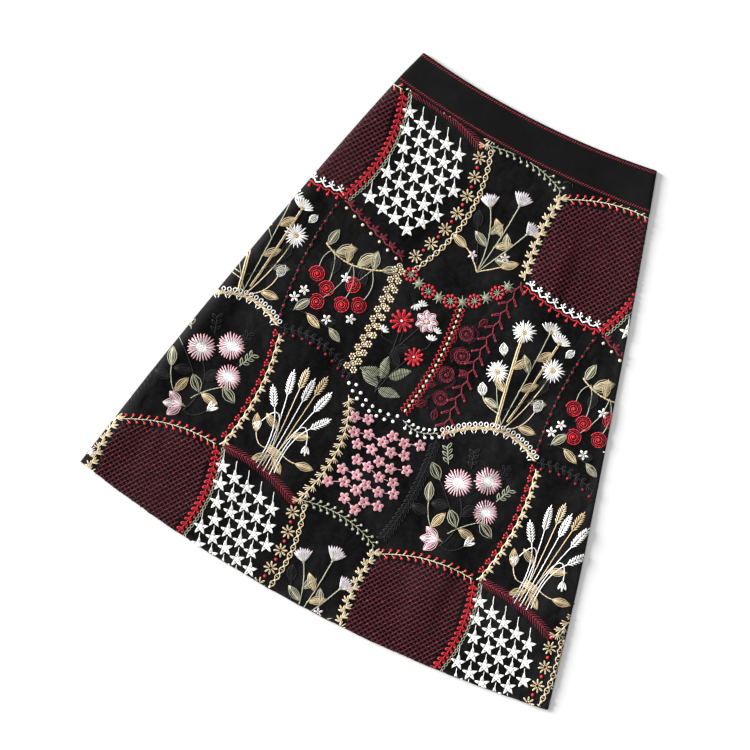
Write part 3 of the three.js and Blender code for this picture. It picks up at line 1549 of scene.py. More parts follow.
FLEUR = Ring(WHITE, 5, 1, 8.8, 1.5, 2.8, -56, 140)

PALE_LEAF = Leaf(25, 9.5, (TAN, CREAM), TAN)
GREY_LEAF = Leaf(25, 10, (SAGE, SAGE, CREAM), SAGE)
MIXED_LEAF = Leaf(22, 9, (CREAM, SAGE), SAGE)
DARK_EDGED = Leaf(24, 12, (BLACK, SAGE, TAN), SAGE)
BLACK_LEAF = Leaf(23, 11, (BLACK,), BLACK)
WINE_LEAF = Leaf(16, 8.5, (WINE, BURGUNDY), BURGUNDY)
BIG_LEAF = Leaf(30, 15, (SAGE, TAN, CREAM), SAGE, 1.7)
BARRED = BarredLeaf()
SAGE_TWIG, BLACK_TWIG = (
    Sprig(Vine(thread, 8, (Shoot(thread, 44, 8.6, 1.5, 3, True),), stagger=1.2, width=1.6), 22)
    for thread in (SAGE, BLACK))

# Seam patterns

RED_SPRIG = Group(tuple(
    Group((Stroke(RED, 0j, polar(5.2, angle), 1.1), Put(Dots(RED, 1.5), polar(5.6, angle))))
    for angle in (-52, -90, -128)))
BERRY_VINE = (Vine(CREAM, 9.4, (Shoot(CREAM, 50, 5.6, 1.2), Shoot(RED, 50, 5.8, 0.6, knot=1.95)),
                   stagger=2),)
SAGE_BERRIES = (Vine(SAGE, 8.8, (Shoot(SAGE, 48, 6.8, 1.2, knot=2),), stagger=1.8, width=1.5),)
WHITE_BERRIES = (Vine(SAGE, 7.6, (Shoot(WHITE, 58, 5.6, 0.8, knot=2.1),), stagger=1.8, width=1.5),)
LEAFY_VINE = (Vine(CREAM, 12.8, fan(CREAM, 1, 2.7, (14, 8.4), (46, 9.4), (80, 7.4)), stagger=3, width=1.9),)
HALF_VINE = (
    Vine(CREAM, 12.4, fan(CREAM, 1.2, 3.2, (36, 6.6), (90, 8.6), (144, 6.6)), (1,), wave=1.2, width=2.2),
    Row((RED_SPRIG,), 12.4, -0.8, 0))
BRANCHES = (Vine(CREAM, 10.2, fan(CREAM, 1.35, 0, (26, 8), (46, 9.2), (68, 8)), stagger=1.8, width=1.7),)
FERN = (Vine(BURGUNDY, 3.9, (Shoot(BURGUNDY, 38, 10.2, 1.25),), width=1.6),)
BLACK_FERN = (Vine(BLACK, 6.2, (Shoot(BLACK, 44, 9, 1.5, 2.8, True),), width=1.7, stagger=1.4),)
FEATHER = (Vine(BURGUNDY, 8.2, (Shoot(BURGUNDY, 50, 10, 1.7, 3.6, knot=2, out=1.6),), by_turns=True,
                wave=2.2, width=2.4),)
PICOTS = (
    Vine(RED, 11.6, (Shoot(RED, 90, 5, 1.8, knot=2.1),), (-1,), wave=1.5, beside=-4.2, width=2),
    Vine(WHITE, 11.6, tuple(
        Shoot(WHITE, angle, reach, width, knot=knot, out=2) for angle, reach, width, knot in (
            (90, 5.2, 1.8, 1.5), (40, 3.8, 1.7, 1.2), (140, 3.8, 1.7, 1.2))), (1,), wave=2.4, width=2.5))
DARK_PICOTS = (
    Vine(BLACK, 9, (Shoot(BLACK, 60, 7, 1.6, 2.6, True),), width=1.6, stagger=1),
    Row((Dots(ROSE, 2),), 11.6, -7))
RED_TUFT = Group((
    Ring(RED, 5, 0, 6.6, 1.3, start=-54, span=135, height=1),
    *(Put(Dots(RED, 1.5), place) for place in (4.6 + 4j, 4.6 - 4j))))
RED_BORDER = (Vine(RED, 9, width=1.7), Row((RED_TUFT,), 7.2), Row((CHAIN,), 5.2, 7.6))
EYELETS = (Row((EYELET,), 24), Row((Dots(RED, 2.1),), 24, phase=0), Row((LINK,), 10.2, 12.6))
TREFOILS = (
    Vine(BURGUNDY, 13.4, fan(BURGUNDY, 1.5, 3.2, (42, 7.2), (90, 8.8), (138, 7.2)), (1,), wave=1.5,
         width=2.5),
    Row((Dots(CREAM, 2.1),), 13.4, -4.6))
KNOT_DAISIES = (Row((BERRY_RING, SAGE_STAR), 14),)
SCALLOPS = (
    Row((CUP_LOOP,), 6.6, 2),
    Row((Stroke(WHITE, 0j, -2 - 4.6j, 1.5), Stroke(WHITE, 0j, 2 - 4.6j, 1.5)), 6.6, -1.6),
    Bars((TAN, CREAM, CREAM), 1.9, 2.3, 1.7, 0.9, 6.7, width=2.1))
KNOT_ROWS = (
    Vine(BLACK, 9, width=1.2),
    *(Row((Dots(WHITE, 2.3),), 10.4, beside, phase) for beside, phase in ((3.6, 0.5), (-3.6, 0))))
FLOWER_BAND = (
    *(Row((CREAM_RING,), 12.4, beside) for beside in (4.8, -4.8)),
    *(Row((motif,), 12.4, phase=0) for motif in (Stroke(CREAM, -3, 3, 1.4, 6.8), Dots(CREAM, 1.5))))
LATTICE = (
    *(Bars((RED,), 2.9, 2.2, 1.5, beside=beside, width=1.15, zigzag=True) for beside in (4.2, -4.2)),
    Row((Group((Stroke(CREAM, -2.4, 2.4, 1.7), Dots(CREAM, 1.8))),), 7.4))
DOTTED = (Vine(BLACK, 11.2, wave=2, width=1.6), Row((Dots(ROSE, 2.1),), 11.2))

# Sprays

DAISY_SPRAY = Group((
    Stalk(BLACK, -6 - 60j, 22 - 30j, 36 - 8j, 1.5, grown=((0.5, -40, BLACK_LEAF), (0.8, 40, BLACK_LEAF))),
    Stalk(TAN, -5 - 82j, -16 - 18j, -24 + 40j, 4.6, DAISY, 2,
          ((0.36, 46, PALE_LEAF), (0.62, -46, PALE_LEAF)), CREAM),
    Stalk(CREAM, 4 - 82j, 22 - 34j, 30 + 12j, 1.7, DAISY, 2, ((0.5, -54, MIXED_LEAF),)),
    Stalk(SAGE, -82j, 4 - 4j, 6 + 54j, 1.6, SIDE_DAISY, 0,
          ((0.4, -44, PALE_LEAF), (0.58, 42, GREY_LEAF), (0.72, -40, PALE_LEAF))),
    Stalk(SAGE, 1 - 78j, -18 - 50j, -32 - 20j, 1.5, DAISY, 2, ((0.34, 48, MIXED_LEAF),)),
    Stalk(CREAM, 5 - 82j, 24 - 66j, 32 - 44j, 1.5, BUD, 0, ((0.4, -44, PALE_LEAF),)),
    Stalk(CREAM, -6 - 66j, -26 - 62j, -36 - 54j, 1.4, BUD),
    Stalk(TAN, 6 - 70j, 14 - 20j, 22 + 44j, 3.2, SIDE_DAISY, 2, (), CREAM),
    Put(BUD, -34 + 4j, 118, 0.92), Put(BUD, 38 + 36j, 66, 0.8),
))
CHERRY_SPRAY = Group((
    Stalk(BLACK, -36 - 52j, -10 - 46j, 34 - 50j, 1.5, None, 0,
          ((0.06, 40, GREY_LEAF), (0.3, -24, PALE_LEAF), (0.56, 30, BLACK_LEAF), (0.78, -16, MIXED_LEAF))),
    Stalk(TAN, -40 + 44j, -2 + 36j, 40 + 50j, 2.6, None, 0,
          ((0.04, 112, GREY_LEAF), (0.2, 56, BIG_LEAF), (0.45, 108, PALE_LEAF), (0.6, 50, BIG_LEAF),
           (0.86, 84, GREY_LEAF), (0.3, -76, BLACK_LEAF), (0.68, -70, BLACK_LEAF), (0.98, 6, MIXED_LEAF))),
    *(Stalk(SAGE, *places, 1.4, CHERRY, 10.5) for places in (
        (-27 + 41j, -34 + 30j, -33 + 14j), (-27 + 41j, -18 + 26j, -12 + 4j), (2 + 38j, 2 + 10j, -8 - 18j),
        (2 + 38j, 14 + 20j, 17 - 4j), (28 + 44j, 24 + 34j, 20 + 24j), (28 + 44j, 38 + 26j, 38 + 6j))),
    *(Put(SMALL_WHITE, place, turn) for place, turn in (
        (-34 - 22j, 0), (-40 - 36j, 30), (4 + 18j, 20), (36 - 24j, 12), (10 - 40j, 60))),
))
GRAIN_SPRAY = Group((
    *(Stalk(thread, complex(step * 4.6, -76 + step % 2 * 5), complex(lean * 0.5, -30), complex(lean, top),
            1.6, Ear(30 - step % 2 * 4, 7.6, thread), 0)
      for step, (thread, lean, top) in enumerate(
          ((WHITE, -27, 4), (WHITE, -20, 26), (CREAM, -10, 41), (WHITE, 1, 28), (TAN, 12, 43),
           (WHITE, 21, 24), (WHITE, 28, 2)), -3)),
    *(Stalk(WHITE, complex(4 * side, -50), complex(17 * side, -2), complex(33 * side, -20), 1.5, BELL, 0,
            ((0.4, -50 * side, PALE_LEAF),)) for side in (1, -1)),
    *(Stalk(CREAM, complex(3 * side, -44), complex(20 * side, -48), complex(32 * side, -42 - 6 * side), 1.6,
            PALE_LEAF) for side in (1, -1)),
    *(Put(PALE_LEAF, complex(2 * side, -54), -90 + 52 * side, 1) for side in (1, -1)),
    *(Stroke(CREAM, complex(-11, -42 - row * 2.1), complex(11, -44 - row * 2.1), 2.2, 0, 1.5)
      for row in range(5)),
))
LOOP_SPRAY = Group((
    Stalk(BLACK, -66j, -6 - 14j, -14 + 26j, 1.7, RED_FLOWER, 4,
          ((0.08, 64, BARRED), (0.26, 96, BARRED), (0.2, 4, BARRED), (0.62, -60, BLACK_LEAF))),
    Stalk(BLACK, -66j, 10 - 24j, 20 - 4j, 1.7, Put(RED_FLOWER, 0j, 0, 0.8), 2,
          ((0.1, -72, BARRED), (0.4, -34, BARRED), (0.66, 70, BLACK_LEAF))),
    Stalk(BLACK, -6 - 10j, 4 + 20j, 12 + 42j, 1.6, PALE_FLOWER, 3),
    *(Stalk(BLACK, *places, 1.5, FLEUR) for places in (
        (-10, -26, -30 + 6j), (22 + 8j, 30 + 16j, 30 + 26j), (-4 + 6j, -12 + 50j, -10 + 58j))),
    Put(FLEUR, -2 + 59j, 96, 0.9), Put(FLEUR, 30 + 38j, 84, 0.9),
))
ASTER_SPRAY = Group((
    Stalk(BLACK, -4 - 62j, 6 - 24j, -10 + 8j, 1.7, None, 0,
          ((0.4, 50, DARK_EDGED), (0.6, -48, BLACK_LEAF))),
    Stalk(SAGE, -1 - 44j, 16 - 26j, 34 - 14j, 1.5, None, 0,
          ((0.3, -58, PALE_LEAF), (0.9, -60, DARK_EDGED))),
    Stalk(SAGE, -3 - 56j, -24 - 44j, -38 - 18j, 1.5, GREY_LEAF, 0,
          ((0.42, -66, PALE_LEAF), (0.74, 60, BLACK_LEAF))),
    Stalk(BLACK, 2 - 30j, -18 - 6j, -36 + 12j, 1.5, DARK_EDGED, 0, ((0.4, 64, BLACK_LEAF),)),
    Put(SAGE_TWIG, -34 + 34j, 118), Put(BLACK_TWIG, -6 + 40j, 104),
    Put(SAGE_TWIG, 38 + 16j, 62), Put(BLACK_TWIG, 28 + 36j, 76),
    Put(ASTER, -14 + 18j, 0, 1.06), Put(ASTER, 19 + 34j, 0, 1.03), Put(ASTER, 31 - 2j, 0, 0.94),
    Stalk(BLACK, -4 - 60j, 10 - 62j, 24 - 50j, 1.4, Put(BELL, 0j, 10, 1.1)),
    Put(Group((
        *(Put(Leaf(22, 11, (LILAC, PINK), PINK), 0j, side * 40) for side in (1, -1)),
        Leaf(23, 12, (WHITE, LILAC), PINK),
        Ring(SAGE, 3, -3, 5, 1.6, start=-40, span=120, height=1.2))), -8 - 56j, -164),
))
ROSE_SPRAY = Group((
    *(Stalk(WINE, place, place + complex(13 * side, -7), place + complex(5 * side, -22), 3.6)
      for side, place in ((1, 62j), (-1, 2 + 28j), (1, -2 - 8j), (-1, -44j))),
    *(Put(ROSE_COIL, *place) for place in (
        (-3 + 50j, 0, 0.9), (4 + 20j, 40), (-4 - 12j, 80), (3 - 44j, 20, 0.92))),
    *(Put(WINE_LEAF, place, turn) for place, turn in (
        (8 + 66j, 66), (-12 + 32j, 130), (10 + 2j, -20), (-10 - 30j, 200), (4 - 60j, -80),
        (-12 - 56j, 230))),
))
FRINGED_SPRAY = Group((
    Stalk(BLACK, -62j, -18 - 30j, -28 - 12j, 1.5, BLACK_LEAF),
    Stalk(SAGE, -62j, -8 - 20j, -26 + 16j, 1.8, FRINGED, 2,
          ((0.42, 52, GREY_LEAF), (0.62, -46, MIXED_LEAF))),
    Stalk(SAGE, -62j, 4 - 10j, 4 + 36j, 1.8, Put(FRINGED, 0j, 0, 1.05), 2,
          ((0.4, -50, PALE_LEAF), (0.56, 50, PALE_LEAF))),
    Stalk(SAGE, -62j, 16 - 26j, 30 + 10j, 1.8, Put(FRINGED, 0j, 0, 0.92), 2,
          ((0.36, -56, GREY_LEAF), (0.6, 52, MIXED_LEAF))),
    Stalk(TAN, -62j, -16 - 48j, -27 - 42j, 2.2, PALE_LEAF),
    Stalk(TAN, -62j, 14 - 50j, 23 - 42j, 2.2, PALE_LEAF),
    Put(SMALL_LILAC, -16 - 46j), Put(SMALL_LILAC, 22 - 28j, 30),
))


# The repeat


Spot = tuple[float, float]


def spot(across: float, down: float) -> complex:
    """A place in the repeat, from its left and from its top."""
    return complex(across, -down)


@dataclass(frozen=True)
class Seam:
    """A seam of the repeat: its stitches and three places that it runs through."""

    stitches: tuple[SeamStitch, ...]
    start: Spot
    via: Spot
    end: Spot


@dataclass(frozen=True)
class Patch:
    """A filled patch of the repeat: its filling and its corners."""

    filling: Trellis | StarField | Garlands
    corners: tuple[Spot, ...]


@dataclass(frozen=True)
class Repeat:
    """The part of the embroidery that repeats over the cloth."""

    width: float = 348.0
    height: float = 480.0
    patches: tuple[Patch, ...] = (
        Patch(Trellis(), ((4, 18), (60, -2), (116, -8), (129, 62), (110, 129), (12, 121), (0, 68))),
        Patch(StarField(), ((134, 0), (176, 0), (222, 20), (232, 92), (209, 149), (164, 137), (131, 124),
                            (149, 62))),
        Patch(Garlands(BLOSSOM), ((246, 352), (296, 360), (336, 354), (342, 410), (330, 460), (286, 464),
                                  (252, 446), (260, 400))),
    )
    seams: tuple[Seam, ...] = (
        Seam(BERRY_VINE, (2, 14), (58, -8), (116, -12)),
        Seam(LEAFY_VINE, (4, 122), (-5, 66), (-2, 12)),
        Seam(PICOTS, (8, 124), (60, 132), (112, 130)),
        Seam(RED_BORDER, (119, -10), (132, 62), (114, 132)),
        Seam(FERN, (124, -14), (176, -12), (228, 4)),
        Seam(EYELETS, (232, 6), (244, 86), (218, 168)),
        Seam(TREFOILS, (118, 138), (166, 154), (212, 168)),
        Seam(SAGE_BERRIES, (236, 0), (292, -6), (342, 8)),
        Seam(KNOT_DAISIES, (222, 176), (290, 184), (342, 132)),
        Seam(DOTTED, (112, 142), (106, 222), (114, 300)),
        Seam(SCALLOPS, (2, 332), (60, 296), (116, 308)),
        Seam(FLOWER_BAND, (212, 176), (218, 246), (216, 318)),
        Seam(DARK_PICOTS, (120, 308), (172, 302), (222, 322)),
        Seam(LATTICE, (300, 186), (306, 256), (298, 330)),
        Seam(KNOT_ROWS, (226, 326), (262, 344), (300, 338)),
        Seam(WHITE_BERRIES, (302, 338), (324, 342), (346, 332)),
        Seam(FEATHER, (350, 126), (346, 230), (350, 330)),
        Seam(HALF_VINE, (122, 316), (132, 390), (122, 466)),
        Seam(BRANCHES, (230, 342), (249, 406), (234, 484)),
        Seam(BLACK_FERN, (348, 340), (354, 410), (346, 474)),
    )
    sprays: tuple[Put, ...] = (
        Put(DAISY_SPRAY, spot(57, 216), 2, 0.94),
        Put(CHERRY_SPRAY, spot(157, 236), -3, 0.94),
        Put(LOOP_SPRAY, spot(258, 262), -2, 0.94),
        Put(ROSE_SPRAY, spot(325, 255), 2, 0.88),
        Put(ASTER_SPRAY, spot(62, 390), 4, 0.98),
        Put(GRAIN_SPRAY, spot(183, 400), -1, 0.92),
        Put(FRINGED_SPRAY, spot(300, 82), -3, 0.93),
    )

    def sew(self) -> StitchBook:
        """Sews one repeat on flat cloth.

        Returns:
            Its stitches and knots.
        """
        book = StitchBook()
        needle = Needle(book)
        for patch in self.patches:
            patch.filling.sew(needle, [spot(*corner) for corner in patch.corners])
        for spray in self.sprays:
            spray.sew(needle)
        for seam in self.seams:
            path = Path.bent(spot(*seam.start), spot(*seam.via), spot(*seam.end))
            for stitches in seam.stitches:
                stitches.sew(needle, path)
        return book


# Thread meshes


@dataclass(frozen=True)
class StrandShape:
    """The shape of a stitch: rings along it, with the place and the height of each as shares.

    A ring has a left, a top and a right point. The ends dive into the cloth. The rest says how its faces
    lie in its cell of the colour map.
    """

    along: tuple[float, ...]
    high: tuple[float, ...]
    sunk: float = 0.22
    cell_edge: float = 0.1
    cell_tip: float = 0.04
    cell_top: float = 0.4
    cell_side: float = 0.7
    cell_under: tuple[float, float] = (0.74, 0.94)

    def faces(self) -> tuple[Array, Array, Array, Array]:
        """Faces of one stitch, and where their corners lie in its cell of the colour map.

        Returns:
            Faces of four, their corners on the map, faces of three, and theirs.
        """
        edge, top, side = self.cell_edge, self.cell_top, self.cell_side
        low, high = self.cell_under
        across = [edge + (1 - 2 * edge) * share for share in self.along]
        quads, quad_map = [], []
        for ring in range(len(self.along) - 1):
            here, after = 3 * ring, 3 * ring + 3
            quads += [(here, here + 1, after + 1, after), (here + 1, here + 2, after + 2, after + 1),
                      (here + 2, here, after, after + 2)]
            u, v = across[ring], across[ring + 1]
            quad_map += [[(u, foot), (u, head), (v, head), (v, foot)]
                         for foot, head in ((edge, top), (top, side), (low, high))]
        last = 3 * (len(self.along) - 1)
        tris = [(0, 2, 1), (last, last + 1, last + 2)]
        tri_map = [[(edge, edge), (edge, side), (self.cell_tip, top)],
                   [(1 - edge, edge), (1 - self.cell_tip, top), (1 - edge, side)]]
        return np.array(quads), np.array(quad_map), np.array(tris), np.array(tri_map)


@dataclass(frozen=True)
class KnotShape:
    """The shape of a knot: a dome with six sides. The rest says how its faces lie in its cell."""

    sides: int = 6
    shoulder: float = 0.8
    shoulder_height: float = 0.66
    sunk: float = 0.22
    cell_middle: complex = 0.42 + 0.58j
    cell_radius: float = 0.37
    cell_shoulder: float = 0.6
    cell_foot: complex = 0.88 + 0.12j
    cell_foot_radius: float = 0.09

    def faces(self) -> tuple[Array, Array, Array, Array]:
        """Faces of one knot, and where their corners lie in its cell of the colour map.

        Returns:
            Faces of four, their corners on the map, faces of three, and theirs.
        """
        sides, middle = self.sides, self.cell_middle

        def on_map(centre: complex, radius: float, side: int) -> tuple[float, float]:
            """A corner of a ring on the map."""
            place = centre + polar(radius, side * 360 / sides)
            return place.real, place.imag

        quads, quad_map, tris, tri_map = [], [], [], []
        for side in range(sides):
            after = (side + 1) % sides
            quads.append((side, after, sides + after, sides + side))
            outer = [on_map(middle, self.cell_radius, s) for s in (side, after)]
            inner = [on_map(middle, self.cell_radius * self.cell_shoulder, s) for s in (after, side)]
            quad_map.append(outer + inner)
            tris.append((sides + side, sides + after, 2 * sides))
            tri_map.append([inner[1], inner[0], (middle.real, middle.imag)])
        for side in range(1, sides - 1):
            tris.append((0, side + 1, side))
            tri_map.append([on_map(self.cell_foot, self.cell_foot_radius, s) for s in (0, side + 1, side)])
        return np.array(quads), np.array(quad_map), np.array(tris), np.array(tri_map)


class ThreadWork:
    """All the stitches of one thread on one piece of cloth, as one mesh."""

    straight = StrandShape((0.0, 0.17, 0.83, 1.0), (0.12, 1.0, 1.0, 0.12))
    bowed = StrandShape((0.0, 0.14, 0.38, 0.62, 0.86, 1.0), (0.12, 0.9, 1.0, 1.0, 0.9, 0.12))
    dome = KnotShape()
    least_bow = 0.25
    least_left = 0.25
    halvings = 6
    knot_spread = (0.9, 1.1)
    tone_shift = 7

    def __init__(self, form: Form, stitches: Array, knots: Array, seed: int) -> None:
        """Keeps what lies on the piece.

        Args:
            form: How the cloth lies.
            stitches: Rows of start x, start y, end x, end y, width, height, taper and bow.
            knots: Rows of x, y, radius and height.
            seed: For the small differences between one stitch and the next.
        """
        self.form = form
        self.chance = np.random.default_rng(seed)
        self.stitches = self.clipped(stitches)
        self.knots = knots[form.holds(knots[:, 0], knots[:, 1])]

    def clipped(self, stitches: Array) -> Array:
        """Stitches cut where they leave the piece.

        Args:
            stitches: Rows of stitches.

        Returns:
            The rows that are left.
        """
        start, end = stitches[:, 0:2].copy(), stitches[:, 2:4].copy()
        starts_on = self.form.holds(start[:, 0], start[:, 1])
        ends_on = self.form.holds(end[:, 0], end[:, 1])
        crossing = np.nonzero(starts_on != ends_on)[0]
        from_start = starts_on[crossing, None]
        kept = np.where(from_start, start[crossing], end[crossing])
        off = np.where(from_start, end[crossing], start[crossing])
        for _ in range(self.halvings):
            middle = (kept + off) / 2
            held = self.form.holds(middle[:, 0], middle[:, 1])[:, None]
            kept, off = np.where(held, middle, kept), np.where(held, off, middle)
        start[crossing] = np.where(from_start, start[crossing], kept)
        end[crossing] = np.where(from_start, kept, end[crossing])
        cut = np.hstack([start, end, stitches[:, 4:]])
        cut[crossing, 7] = 0
        return cut[(starts_on | ends_on) & (np.hypot(*(end - start).T) > self.least_left)]

    def strand_points(self, shape: StrandShape, rows: Array) -> Array:
        """Points of stitches: stitch by ring by left, top and right, laid on the cloth.

        Args:
            shape: The stitch's shape.
            rows: Rows of stitches.

        Returns:
            Points in millimetres, with x, y and z in the last axis.
        """
        start, step = rows[:, 0:2], rows[:, 2:4] - rows[:, 0:2]
        shares = np.array(shape.along)
        aside = np.stack([-step[:, 1], step[:, 0]], axis=-1) / np.hypot(step[:, 0], step[:, 1])[:, None]
        bow = rows[:, 7, None, None] * np.sin(np.pi * shares)[None, :, None]
        lean = rows[:, 7, None, None] * np.pi * np.cos(np.pi * shares)[None, :, None]
        centre = start[:, None] + step[:, None] * shares[None, :, None] + aside[:, None] * bow
        way = step[:, None] + aside[:, None] * lean
        across = np.stack([-way[..., 1], way[..., 0]], axis=-1)
        across = across / np.hypot(way[..., 0], way[..., 1])[..., None]
        ends = (shares == 0) | (shares == 1)
        half = rows[:, 4, None] / 2 * np.where(ends[None, :], rows[:, 6, None], 1.0)
        out = across * half[..., None]
        places = np.stack([centre + out, centre, centre - out], axis=2)
        top = rows[:, 5, None] * np.array(shape.high)[None]
        low = np.full_like(top, -shape.sunk)
        return self.form.lay(places[..., 0], places[..., 1], np.stack([low, top, low], axis=2))

    def knot_points(self) -> Array:
        """Points of the knots: knot by foot ring, shoulder ring and top, laid on the cloth.

        Returns:
            Points in millimetres, with x, y and z in the last axis.
        """
        shape, rows = self.dome, self.knots
        turn = self.chance.uniform(0, 2 * math.pi, len(rows))[:, None]
        angle = turn + np.arange(shape.sides)[None] * 2 * math.pi / shape.sides
        radius = rows[:, 2, None] * self.chance.uniform(*self.knot_spread, (len(rows), shape.sides))
        ring = np.stack([np.cos(angle), np.sin(angle)], axis=-1) * radius[..., None]
        centre = rows[:, None, 0:2]
        places = np.concatenate([centre + ring, centre + ring * shape.shoulder, centre], axis=1)
        foot = np.full((len(rows), shape.sides), -shape.sunk)
        top = rows[:, 3, None]
        shoulder = np.repeat(top * shape.shoulder_height, shape.sides, axis=1)
        return self.form.lay(places[..., 0], places[..., 1], np.concatenate([foot, shoulder, top], axis=1))

    def make(self, name: str) -> bpy.types.Object | None:
        """Makes the mesh, with a tone for each stitch, a map that runs along the thread and a colour map.

        Args:
            name: The object's name.

        Returns:
            The new object, or None if nothing lies on the piece.
        """
        is_bowed = np.abs(self.stitches[:, 7]) > self.least_bow
        kinds = []
        for shape, those in ((self.straight, ~is_bowed), (self.bowed, is_bowed)):
            rows = self.stitches[those]
            if len(rows):
                reach = np.hypot(rows[:, 2] - rows[:, 0], rows[:, 3] - rows[:, 1])
                kinds.append((self.strand_points(shape, rows), shape.faces(), reach))
        if len(self.knots):
            kinds.append((self.knot_points(), self.dome.faces(), self.knots[:, 2] * 2))
        if not kinds:
            return None
        columns = math.ceil(math.sqrt(sum(len(reach) for _, _, reach in kinds)))
        pieces = Pieces()
        maps: dict[str, tuple[list[Array], list[Array]]] = {"OFBake": ([], []), "thread_run": ([], [])}
        tones, first = [], 0
        for points, (quads, quad_map, tris, tri_map), reach in kinds:
            laid = points.reshape(len(reach), -1, 3)
            number = first + np.arange(len(reach))
            corner = np.stack([number % columns, number // columns], axis=-1)
            tone = self.chance.uniform(0, 1, len(reach))
            for side, template in enumerate((quad_map, tri_map)):
                cell = (corner[:, None, None] + template[None]) / columns
                maps["OFBake"][side].append(cell.reshape(-1, 2))
                run = np.repeat(template[None], len(reach), axis=0)
                run[..., 0] = run[..., 0] * reach[:, None, None] + tone[:, None, None] * self.tone_shift
                maps["thread_run"][side].append(run.reshape(-1, 2))
            shift = (np.arange(len(reach)) * laid.shape[1])[:, None, None]
            pieces.add(laid.reshape(-1, 3), (quads[None] + shift).reshape(-1, 4),
                       (tris[None] + shift).reshape(-1, 3))
            tones.append(np.repeat(tone, laid.shape[1]))
            first += len(reach)
        made = pieces.make(name)
        for layer, (quad_part, tri_part) in maps.items():
            values = np.concatenate([*quad_part, *tri_part]).astype(np.float32)
            made.data.uv_layers.new(name=layer).data.foreach_set("uv", values.ravel())
        made.data.attributes.new("stitch_tone", "FLOAT", "POINT").data.foreach_set(
            "value", np.concatenate(tones).astype(np.float32))
        return made


@dataclass(frozen=True)
class Laying:
    """How the repeat lies on a panel: where its top left corner is."""

    left: float
    top: float
    reach: float = 345.0
    copies: int = 2

    def spread(self, rows: Array, shifted: Sequence[int], repeat: Repeat) -> Array:
        """Copies rows of places over the whole panel.

        Args:
            rows: Stitches or knots of one repeat.
            shifted: The columns that hold places across; the next column of each is up.
            repeat: The repeat.

        Returns:
            The rows of every copy.
        """
        copies = []
        steps = range(-self.copies, self.copies + 1)
        for column in steps:
            for row in steps:
                left, top = self.left + column * repeat.width, self.top - row * repeat.height
                past_side = left > self.reach or left + repeat.width < -self.reach
                if past_side or top < -self.reach or top - repeat.height > self.reach:
                    continue
                copy = rows.copy()
                for across in shifted:
                    copy[:, across] += left
                    copy[:, across + 1] += top
                copies.append(copy)
        return np.concatenate(copies)


# Nodes

Socket = bpy.types.NodeSocket
Fed = float | Sequence[float] | Socket


class Wiring:
    """Adds nodes to a tree and joins them."""

    def __init__(self, tree: bpy.types.NodeTree) -> None:
        """Works on one tree."""
        self.tree = tree

    def add(self, kind: str, settings: dict[str, object] | None = None, **fed: Fed) -> bpy.types.Node:
        """Adds a node.

        Args:
            kind: Blender's name for it.
            settings: Its own settings.
            **fed: What goes into its inputs, by name, with _ for a space.

        Returns:
            The node.
        """
        node = self.tree.nodes.new(kind)
        for name, value in (settings or {}).items():
            setattr(node, name, value)
        for name, value in fed.items():
            self.feed(node.inputs[name.replace("_", " ")], value)
        return node

    def feed(self, socket: Socket, value: Fed) -> None:
        """Joins a socket to another, or sets its value.

        Args:
            socket: The input.
            value: A number, a colour or an output.
        """
        if isinstance(value, bpy.types.NodeSocket):
            self.tree.links.new(value, socket)
        else:
            socket.default_value = value

    def math(self, operation: str, *values: Fed) -> Socket:
        """A sum on numbers.

        Args:
            operation: Blender's name for it.
            *values: What goes in.

        Returns:
            The result.
        """
        node = self.tree.nodes.new("ShaderNodeMath")
        node.operation = operation
        for socket, value in zip(node.inputs, values):
            self.feed(socket, value)
        return node.outputs[0]

    def mix(self, share: Fed, first: Fed, second: Fed) -> Socket:
        """A mix of two colours.

        Args:
            share: How much of the second.
            first: A colour.
            second: A colour.

        Returns:
            The mix.
        """
        node = self.tree.nodes.new("ShaderNodeMix")
        node.data_type = "RGBA"
        for place, value in ((0, share), (6, first), (7, second)):
            self.feed(node.inputs[place], value)
        return node.outputs[2]

    def spread(self, value: Fed, low: float, high: float, to_low: float = 0.0,
               to_high: float = 1.0) -> Socket:
        """Maps a range of numbers onto another.

        Args:
            value: The number.
            low: Its lowest.
            high: Its highest.
            to_low: What the lowest becomes.
            to_high: What the highest becomes.

        Returns:
            The new number.
        """
        node = self.add("ShaderNodeMapRange", None, Value=value, From_Min=low, From_Max=high, To_Min=to_low,
                        To_Max=to_high)
        return node.outputs["Result"]

    def group(self, group: bpy.types.NodeTree, **fed: Fed) -> bpy.types.Node:
        """Adds a node group."""
        return self.add("ShaderNodeGroup", {"node_tree": group}, **fed)


def shader_group(name: str, inputs: dict[str, float], outputs: Sequence[str]) -> tuple[
        bpy.types.NodeTree, Wiring, bpy.types.Node, bpy.types.Node]:
    """Starts a node group with number sockets.

    Args:
        name: Its name.
        inputs: Its inputs and their usual values.
        outputs: Its outputs.

    Returns:
        The group, its wiring, and its input and output nodes.
    """
    tree = bpy.data.node_groups.new(name, "ShaderNodeTree")
    for label, value in inputs.items():
        tree.interface.new_socket(label, in_out="INPUT",
                                  socket_type="NodeSocketFloat").default_value = value
    for label in outputs:
        tree.interface.new_socket(label, in_out="OUTPUT", socket_type="NodeSocketFloat")
    wiring = Wiring(tree)
    return tree, wiring, wiring.add("NodeGroupInput"), wiring.add("NodeGroupOutput")


def plain_material(name: str) -> tuple[bpy.types.Material, Wiring, bpy.types.Node]:
    """Starts a material.

    Args:
        name: Its name.

    Returns:
        The material, its wiring and its shader.
    """
    material = bpy.data.materials.new(name)
    material.use_nodes = True
    return material, Wiring(material.node_tree), material.node_tree.nodes["Principled BSDF"]


